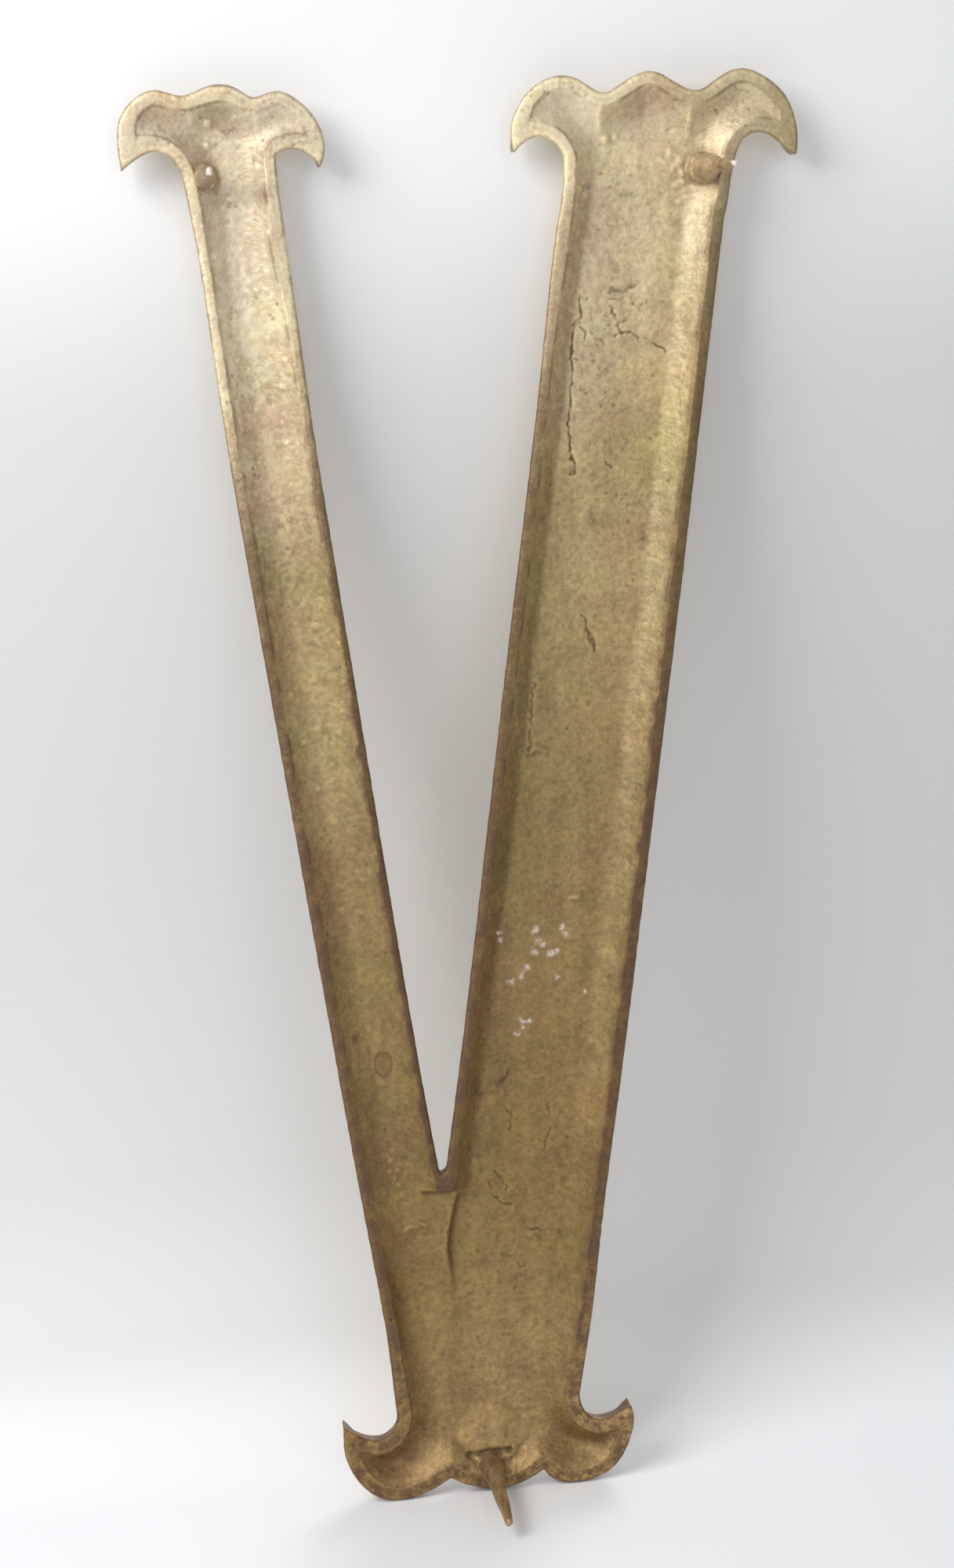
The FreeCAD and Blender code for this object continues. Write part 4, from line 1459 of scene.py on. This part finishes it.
    grain_bump.inputs["Strength"].default_value = 0.62
    grain_bump.inputs["Distance"].default_value = 0.0005
    mottle_bump.inputs["Strength"].default_value = 0.28
    mottle_bump.inputs["Distance"].default_value = 0.001
    speck_bump.invert = True
    speck_bump.inputs["Strength"].default_value = 0.3
    speck_bump.inputs["Distance"].default_value = 0.0003

    links.new(place.outputs["Object"], split.inputs[0])
    for texture in (ageing, patches, blotches, drawn_out, mottle, grain, tarnish, side_patches,
                    specks, speck_room, meander, crust_grain):
        links.new(place.outputs["Object"], texture.inputs["Vector"])
    links.new(ageing.outputs["Fac"], aged_height.inputs[0])
    links.new(place.outputs["Object"], lean.inputs[0])
    links.new(lean.outputs["Value"], aged_height.inputs[2])
    links.new(aged_height.outputs[0], share_up.inputs["Value"])
    links.new(share_up.outputs["Result"], tone.inputs["Fac"])
    links.new(patches.outputs["Fac"], patch_tint.inputs["Fac"])
    links.new(tone.outputs["Color"], patched.inputs["A"])
    links.new(patch_tint.outputs["Color"], patched.inputs["B"])
    links.new(blotches.outputs["Fac"], blotch_tint.inputs["Fac"])
    links.new(patched.outputs["Result"], blotched.inputs["A"])
    links.new(blotch_tint.outputs["Color"], blotched.inputs["B"])
    links.new(drawn_out.outputs["Vector"], streaks.inputs["Vector"])
    links.new(streaks.outputs["Fac"], streak_tint.inputs["Fac"])
    links.new(blotched.outputs["Result"], streaked.inputs["A"])
    links.new(streak_tint.outputs["Color"], streaked.inputs["B"])
    links.new(mottle.outputs["Fac"], mottle_tint.inputs["Fac"])
    links.new(streaked.outputs["Result"], mottled.inputs["A"])
    links.new(mottle_tint.outputs["Color"], mottled.inputs["B"])
    links.new(grain.outputs["Fac"], grain_tint.inputs["Fac"])
    links.new(mottled.outputs["Result"], grained.inputs["A"])
    links.new(grain_tint.outputs["Color"], grained.inputs["B"])

    links.new(aged_height.outputs[0], bright_up.inputs["Value"])
    links.new(bright_up.outputs["Result"], rim_tint.inputs["Fac"])
    links.new(rim.outputs["Fac"], bright_rim.inputs[0])
    links.new(grained.outputs["Result"], bright_rim.inputs["A"])
    links.new(rim_tint.outputs["Color"], bright_rim.inputs["B"])
    links.new(split.outputs["Z"], tarnish_up.inputs["Value"])
    links.new(tarnish.outputs["Fac"], tarnish_edge.inputs["Value"])
    links.new(tarnish_edge.outputs["Result"], tarnish_low.inputs[0])
    links.new(tarnish_up.outputs["Result"], tarnish_low.inputs[1])
    links.new(tarnish_low.outputs[0], tarnish_share.inputs[0])
    links.new(rim.outputs["Fac"], tarnish_share.inputs[1])
    links.new(tarnish_share.outputs[0], tarnished.inputs[0])
    links.new(bright_rim.outputs["Result"], tarnished.inputs["A"])

    links.new(split.outputs["Z"], crease_up.inputs["Value"])
    links.new(rim_edge_shade_and_dirt.outputs["Fac"], crease_share.inputs[0])
    links.new(crease_up.outputs["Result"], crease_share.inputs[1])
    links.new(crease_share.outputs[0], creased.inputs[0])
    links.new(tarnished.outputs["Result"], creased.inputs["A"])

    links.new(side_patches.outputs["Fac"], side_edge.inputs["Value"])
    links.new(side_edge.outputs["Result"], side_share.inputs[0])
    links.new(side.outputs["Fac"], side_share.inputs[1])
    links.new(side_share.outputs[0], sided.inputs[0])
    links.new(creased.outputs["Result"], sided.inputs["A"])
    links.new(reading.outputs["Fac"], reading_share.inputs[0])
    links.new(reading_share.outputs[0], polished.inputs[0])
    links.new(sided.outputs["Result"], polished.inputs["A"])

    links.new(cavity.outputs["Fac"], cavity_share.inputs[0])
    links.new(cavity_share.outputs[0], darker_low_spots.inputs[0])
    links.new(polished.outputs["Result"], darker_low_spots.inputs["A"])
    links.new(rubbed_and_highlit.outputs["Fac"], rubbed_share.inputs[0])
    links.new(rubbed_share.outputs[0], worn.inputs[0])
    links.new(darker_low_spots.outputs["Result"], worn.inputs["A"])
    links.new(painted_light_wall.outputs["Fac"], painted_wall_light.inputs[0])
    links.new(worn.outputs["Result"], painted_wall_light.inputs["A"])

    links.new(specks.outputs["Distance"], speck_edge.inputs["Value"])
    links.new(speck_room.outputs["Fac"], speck_room_edge.inputs["Value"])
    links.new(speck_edge.outputs["Result"], speck_share.inputs[0])
    links.new(speck_room_edge.outputs["Result"], speck_share.inputs[1])
    links.new(speck_share.outputs[0], specked.inputs[0])
    links.new(painted_wall_light.outputs["Result"], specked.inputs["A"])

    links.new(meander.outputs["Fac"], off_line.inputs[0])
    links.new(off_line.outputs[0], off_size.inputs[0])
    links.new(off_size.outputs[0], hairline.inputs["Value"])
    links.new(speck_room.outputs["Fac"], hair_room.inputs["Value"])
    links.new(hairline.outputs["Result"], hair_share.inputs[0])
    links.new(hair_room.outputs["Result"], hair_share.inputs[1])
    links.new(hair_share.outputs[0], haired.inputs[0])
    links.new(specked.outputs["Result"], haired.inputs["A"])

    links.new(crust_grain.outputs["Fac"], smudge_broken.inputs["Value"])
    links.new(smudge_and_shade.outputs["Fac"], smudge_share.inputs[0])
    links.new(smudge_broken.outputs["Result"], smudge_share.inputs[1])
    links.new(smudge_share.outputs[0], smudged.inputs[0])
    links.new(haired.outputs["Result"], smudged.inputs["A"])
    links.new(stain.outputs["Fac"], stained.inputs[0])
    links.new(smudged.outputs["Result"], stained.inputs["A"])
    links.new(crack.outputs["Fac"], cracked.inputs[0])
    links.new(stained.outputs["Result"], cracked.inputs["A"])
    links.new(deposit.outputs["Fac"], crust_share.inputs[0])
    links.new(crust_grain.outputs["Fac"], crust_share.inputs[1])
    links.new(crust_share.outputs[0], crust_edge.inputs["Value"])
    links.new(crust_edge.outputs["Result"], crusted.inputs[0])
    links.new(cracked.outputs["Result"], crusted.inputs["A"])
    links.new(crusted.outputs["Result"], skin.inputs["Base Color"])

    links.new(mottle.outputs["Fac"], dull.inputs["Value"])
    links.new(crust_edge.outputs["Result"], dull_crust.inputs[0])
    links.new(dull.outputs["Result"], dull_crust.inputs[2])
    links.new(dull_crust.outputs[0], skin.inputs["Roughness"])
    links.new(crust_edge.outputs["Result"], metal.inputs[0])
    links.new(metal.outputs[0], skin.inputs["Metallic"])
    links.new(mottle.outputs["Fac"], mottle_bump.inputs["Height"])
    links.new(grain.outputs["Fac"], grain_bump.inputs["Height"])
    links.new(speck_share.outputs[0], speck_bump.inputs["Height"])
    links.new(mottle_bump.outputs["Normal"], grain_bump.inputs["Normal"])
    links.new(grain_bump.outputs["Normal"], speck_bump.inputs["Normal"])
    links.new(speck_bump.outputs["Normal"], skin.inputs["Normal"])
    links.new(skin.outputs["BSDF"], output.inputs["Surface"])
    return material


def worked_brass(name, dark, light, polish, lumps, roughness):
    """Brass that was forged or melted on: spikes and their beads.

    dark and light are its two tones, polish the colour of a worn tip and its painted highlight,
    lumps how far the relief stands up.
    """
    material = bpy.data.materials.new(name)
    material.use_nodes = True
    nodes = material.node_tree.nodes
    links = material.node_tree.links
    nodes.clear()

    output = nodes.new("ShaderNodeOutputMaterial")
    output.label = "Worked brass surface"
    skin = nodes.new("ShaderNodeBsdfPrincipled")
    skin.label = "Worked brass"
    place = nodes.new("ShaderNodeTexCoord")
    place.label = "Place on the piece"
    blotches = nodes.new("ShaderNodeTexNoise")
    blotches.label = "Heat blotches"
    blotch_tint = nodes.new("ShaderNodeValToRGB")
    blotch_tint.label = "Dark and light brass"
    colour_frame = nodes.new("NodeFrame")
    colour_frame.label = "Blotched colour"
    for node in (blotches, blotch_tint):
        node.parent = colour_frame

    scale_grain = nodes.new("ShaderNodeTexNoise")
    scale_grain.label = "Fire scale"
    scale_tint = nodes.new("ShaderNodeValToRGB")
    scale_tint.label = "Scale light and dark"
    scaled = nodes.new("ShaderNodeMix")
    scaled.label = "Scale over the blotches"
    relief = nodes.new("ShaderNodeBump")
    relief.label = "Scale stands up"
    scale_frame = nodes.new("NodeFrame")
    scale_frame.label = "Fire scale"
    for node in (scale_grain, scale_tint, scaled, relief):
        node.parent = scale_frame

    # Low spots are darkened.
    cavity = nodes.new("ShaderNodeAttribute")
    cavity.label = "Low spots"
    darker_low_spots = nodes.new("ShaderNodeMix")
    darker_low_spots.label = "Darker in the low spots"
    # High spots lightened: worn metal and painted highlight.
    rubbed_and_highlit = nodes.new("ShaderNodeAttribute")
    rubbed_and_highlit.label = "High spots"
    rubbed_share = nodes.new("ShaderNodeMath")
    rubbed_share.label = "How far they are rubbed"
    worn = nodes.new("ShaderNodeMix")
    worn.label = "Rubbed high spots with painted highlights"
    # The spike's end: worn metal and a painted highlight.
    tip = nodes.new("ShaderNodeAttribute")
    tip.label = "End of a spike"
    tipped = nodes.new("ShaderNodeMix")
    tipped.label = "Bright rubbed end"
    wear_frame = nodes.new("NodeFrame")
    wear_frame.label = "Darker low spots, wear and painted light"
    for node in (cavity, darker_low_spots, rubbed_and_highlit, rubbed_share, worn, tip, tipped):
        node.parent = wear_frame

    columns = (
        (place, cavity, rubbed_and_highlit, tip), (blotches, scale_grain, rubbed_share),
        (blotch_tint, scale_tint, relief), (scaled, darker_low_spots, worn, tipped), (skin, output))
    for column, members in enumerate(columns):
        for row, node in enumerate(members):
            node.location = (column * 260.0, row * -300.0)

    blotches.inputs["Scale"].default_value = 130.0
    blotches.inputs["Detail"].default_value = 4.0
    blotch_tint.color_ramp.elements[0].position = 0.36
    blotch_tint.color_ramp.elements[0].color = dark
    blotch_tint.color_ramp.elements[1].position = 0.64
    blotch_tint.color_ramp.elements[1].color = light
    scale_grain.inputs["Scale"].default_value = 900.0
    scale_grain.inputs["Detail"].default_value = 3.0
    scale_tint.color_ramp.elements[0].position = 0.32
    scale_tint.color_ramp.elements[0].color = (0.34, 0.30, 0.27, 1.0)
    scale_tint.color_ramp.elements[1].position = 0.66
    scale_tint.color_ramp.elements[1].color = (0.62, 0.61, 0.60, 1.0)
    scaled.data_type = "RGBA"
    scaled.blend_type = "OVERLAY"
    scaled.inputs[0].default_value = 0.5
    relief.inputs["Strength"].default_value = lumps
    relief.inputs["Distance"].default_value = 0.0003
    cavity.attribute_name = "cavity"
    darker_low_spots.data_type = "RGBA"
    darker_low_spots.blend_type = "MULTIPLY"
    darker_low_spots.inputs["B"].default_value = (0.30, 0.21, 0.15, 1.0)
    rubbed_and_highlit.attribute_name = "rubbed_and_highlit"
    rubbed_share.operation = "MULTIPLY"
    rubbed_share.inputs[1].default_value = 0.4
    worn.data_type = "RGBA"
    worn.inputs["B"].default_value = (0.84, 0.70, 0.50, 1.0)
    tip.attribute_name = "tip"
    tipped.data_type = "RGBA"
    tipped.inputs["B"].default_value = polish
    skin.inputs["Metallic"].default_value = 0.7
    skin.inputs["Roughness"].default_value = roughness

    links.new(place.outputs["Object"], blotches.inputs["Vector"])
    links.new(place.outputs["Object"], scale_grain.inputs["Vector"])
    links.new(blotches.outputs["Fac"], blotch_tint.inputs["Fac"])
    links.new(scale_grain.outputs["Fac"], scale_tint.inputs["Fac"])
    links.new(blotch_tint.outputs["Color"], scaled.inputs["A"])
    links.new(scale_tint.outputs["Color"], scaled.inputs["B"])
    links.new(cavity.outputs["Fac"], darker_low_spots.inputs[0])
    links.new(scaled.outputs["Result"], darker_low_spots.inputs["A"])
    links.new(rubbed_and_highlit.outputs["Fac"], rubbed_share.inputs[0])
    links.new(rubbed_share.outputs[0], worn.inputs[0])
    links.new(darker_low_spots.outputs["Result"], worn.inputs["A"])
    links.new(tip.outputs["Fac"], tipped.inputs[0])
    links.new(worn.outputs["Result"], tipped.inputs["A"])
    links.new(tipped.outputs["Result"], skin.inputs["Base Color"])
    links.new(scale_grain.outputs["Fac"], relief.inputs["Height"])
    links.new(relief.outputs["Normal"], skin.inputs["Normal"])
    links.new(skin.outputs["BSDF"], output.inputs["Surface"])
    return material


# ------------------------------------------------------------------ stage, light, camera
def stage_paper(name, one_sided):
    """Matt studio paper with painted shade, greyer half way up and to the right. One-sided paper
    can be looked through from behind.
    """
    material = bpy.data.materials.new(name)
    material.use_nodes = True
    nodes = material.node_tree.nodes
    links = material.node_tree.links
    nodes.clear()

    output = nodes.new("ShaderNodeOutputMaterial")
    output.label = "Studio paper"
    place = nodes.new("ShaderNodeTexCoord")
    place.label = "Place on the paper"
    split = nodes.new("ShaderNodeSeparateXYZ")
    split.label = "Up and across"
    up_share = nodes.new("ShaderNodeMapRange")
    up_share.label = "Floor to top"
    up_shade = nodes.new("ShaderNodeValToRGB")
    up_shade.label = "Greyer half way up"
    right_share = nodes.new("ShaderNodeMapRange")
    right_share.label = "Greyer to the right"
    shaded = nodes.new("ShaderNodeMix")
    shaded.label = "Painted grey shade"
    shade_frame = nodes.new("NodeFrame")
    shade_frame.label = "Painted shade on the paper"
    for node in (place, split, up_share, up_shade, right_share, shaded):
        node.parent = shade_frame

    paper = nodes.new("ShaderNodeBsdfDiffuse")
    paper.label = "Matt paper"
    clear = nodes.new("ShaderNodeBsdfTransparent")
    clear.label = "Nothing to see"
    facing = nodes.new("ShaderNodeNewGeometry")
    facing.label = "Front or back of the paper"
    seen = nodes.new("ShaderNodeMixShader")
    seen.label = "Clear from behind"
    seen_frame = nodes.new("NodeFrame")
    seen_frame.label = "Seen from the front only"
    for node in (paper, clear, facing, seen):
        node.parent = seen_frame
    for column, node in enumerate((place, split, up_share, up_shade, right_share, shaded)):
        node.location = (column * 220.0, 300.0)
    for column, node in enumerate((facing, paper, clear, seen, output)):
        node.location = (column * 220.0, 0.0)

    # Painted shade: the grey deepens half way up and to the right, standing in for the letter's
    # soft shadow and the light's falloff.
    up_share.inputs["From Min"].default_value = 0.0
    up_share.inputs["From Max"].default_value = 0.6
    up_shade.color_ramp.interpolation = "EASE"
    up_shade.color_ramp.elements[0].color = (0.87, 0.87, 0.87, 1.0)
    up_shade.color_ramp.elements[1].color = (0.82, 0.82, 0.82, 1.0)
    up_shade.color_ramp.elements.new(0.07).color = (0.735, 0.735, 0.735, 1.0)
    up_shade.color_ramp.elements.new(0.20).color = (0.70, 0.70, 0.70, 1.0)
    up_shade.color_ramp.elements.new(0.50).color = (0.68, 0.68, 0.68, 1.0)
    up_shade.color_ramp.elements.new(0.76).color = (0.67, 0.67, 0.67, 1.0)
    right_share.inputs["From Min"].default_value = -0.15
    right_share.inputs["From Max"].default_value = 0.35
    right_share.inputs["To Min"].default_value = 1.0
    right_share.inputs["To Max"].default_value = 0.91
    shaded.data_type = "RGBA"
    shaded.blend_type = "MULTIPLY"
    shaded.inputs[0].default_value = 1.0
    seen.inputs[0].default_value = 0.0

    links.new(place.outputs["Object"], split.inputs[0])
    links.new(split.outputs["Z"], up_share.inputs["Value"])
    links.new(up_share.outputs["Result"], up_shade.inputs["Fac"])
    links.new(split.outputs["X"], right_share.inputs["Value"])
    links.new(up_shade.outputs["Color"], shaded.inputs["A"])
    links.new(right_share.outputs["Result"], shaded.inputs["B"])
    links.new(shaded.outputs["Result"], paper.inputs["Color"])
    if one_sided:
        links.new(facing.outputs["Backfacing"], seen.inputs[0])
    links.new(paper.outputs["BSDF"], seen.inputs[1])
    links.new(clear.outputs["BSDF"], seen.inputs[2])
    links.new(seen.outputs["Shader"], output.inputs["Surface"])
    return material


def make_stage():
    """A pale floor under the foot and a paper sweep that rises close behind the letter."""
    level = cad_low.z - 0.0002
    floor_mesh = bpy.data.meshes.new("studio_floor")
    reach = FLOOR_REACH
    floor_mesh.from_pydata(
        [(-reach, -reach, level), (reach, -reach, level), (reach, reach, level),
         (-reach, reach, level)], [], [(0, 1, 2, 3)])
    floor = bpy.data.objects.new("studio_floor", floor_mesh)
    floor.data.materials.append(stage_paper("floor_paper", False))

    close = cad_high.y + PAPER_GAP
    lowest = level + 0.0001
    profile = [(-0.6, lowest), (-0.1, lowest)]
    for i in range(33):
        angle = i / 32.0 * math.pi / 2.0
        profile.append((
            close + SWEEP_SET_BACK * math.sin(angle),
            lowest + (SWEEP_BEND - level) * (1.0 - math.cos(angle))))
    for i in range(1, 33):
        height = SWEEP_BEND + i / 32.0 * (SWEEP_CLOSE - SWEEP_BEND)
        lean = float(smooth(SWEEP_CLOSE, SWEEP_BEND, height))
        profile.append((close + SWEEP_SET_BACK * lean, height))
    profile.append((close, SWEEP_TOP))
    points = []
    for along, height in profile:
        points.append((-SWEEP_HALF_WIDTH, along, height))
        points.append((SWEEP_HALF_WIDTH, along, height))
    faces = [(2 * i, 2 * i + 1, 2 * i + 3, 2 * i + 2) for i in range(len(profile) - 1)]
    sweep_mesh = bpy.data.meshes.new("paper_sweep")
    sweep_mesh.from_pydata(points, [], faces)
    sweep_mesh.shade_smooth()
    sweep = bpy.data.objects.new("paper_sweep", sweep_mesh)
    sweep.data.materials.append(stage_paper("sweep_paper", True))
    sweep.visible_shadow = False
    sweep.visible_diffuse = False
    sweep.visible_glossy = False
    for piece in (floor, sweep):
        bpy.context.scene.collection.objects.link(piece)


def make_light():
    """Three square softboxes and an even pale sky."""
    for name, place, aim, side, power in SOFTBOXES:
        light = bpy.data.lights.new(name, "AREA")
        light.shape = "RECTANGLE"
        light.size = side
        light.size_y = side
        light.energy = power
        lamp = bpy.data.objects.new(name, light)
        lamp.location = place
        lamp.rotation_euler = (Vector(aim) - Vector(place)).to_track_quat("-Z", "Y").to_euler()
        bpy.context.scene.collection.objects.link(lamp)
    world = bpy.data.worlds.new("studio")
    world.use_nodes = True
    background = world.node_tree.nodes["Background"]
    background.inputs["Color"].default_value = SKY_COLOUR
    background.inputs["Strength"].default_value = SKY_STRENGTH
    bpy.context.scene.world = world


def make_camera():
    camera = bpy.data.cameras.new("camera")
    camera.lens = LENS
    camera.sensor_width = SENSOR_WIDTH
    camera.clip_start = 0.02
    stand = bpy.data.objects.new("camera", camera)
    stand.location = CAMERA_PLACE
    stand.rotation_euler = tuple(math.radians(angle) for angle in CAMERA_TURN)
    bpy.context.scene.collection.objects.link(stand)
    bpy.context.scene.camera = stand
    bpy.context.scene.view_settings.view_transform = "Standard"


# ------------------------------------------------------------------ assembly
casting = make_casting()
casting.data.materials.append(aged_cast_brass())
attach(casting, "root")
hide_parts(CASTING)

pale_forged = worked_brass(
    "forged_brass_pale", (0.30, 0.21, 0.115, 1.0), (0.50, 0.385, 0.24, 1.0),
    (0.88, 0.76, 0.66, 1.0), 0.35, 0.42)
# The foot's spike and bead take brown copies of the pale brass, darker like the letter's foot;
# that darkening is partly painted shade.
brown_forged = worked_brass(
    "forged_brass_brown", (0.215, 0.125, 0.062, 1.0), (0.45, 0.31, 0.15, 1.0),
    (0.40, 0.235, 0.13, 1.0), 0.5, 0.50)
pale_spelter = worked_brass(
    "spelter_bead_pale", (0.37, 0.285, 0.18, 1.0), (0.56, 0.455, 0.31, 1.0),
    (0.70, 0.60, 0.50, 1.0), 0.4, 0.50)
brown_spelter = worked_brass(
    "spelter_bead_brown", (0.195, 0.117, 0.056, 1.0), (0.40, 0.28, 0.137, 1.0),
    (0.70, 0.60, 0.50, 1.0), 0.5, 0.48)
for number, (name, place, root, tip, reach, lean) in enumerate(SPIKES):
    spike = make_spike(name, place, root, tip, reach, lean, 60 + 4 * number)
    spike.data.materials.append(brown_forged if name == "foot" else pale_forged)
    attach(spike, "root")
    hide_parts("spike_" + name)
for number, (name, flat, rise, full) in enumerate(BEADS):
    bead = make_bead(name, SPIKES[number], flat, rise, full, 80 + 4 * number)
    bead.data.materials.append(brown_spelter if name == "foot" else pale_spelter)
    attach(bead, "root")
    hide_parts("braze_collar_" + name)

make_stage()
make_light()
make_camera()
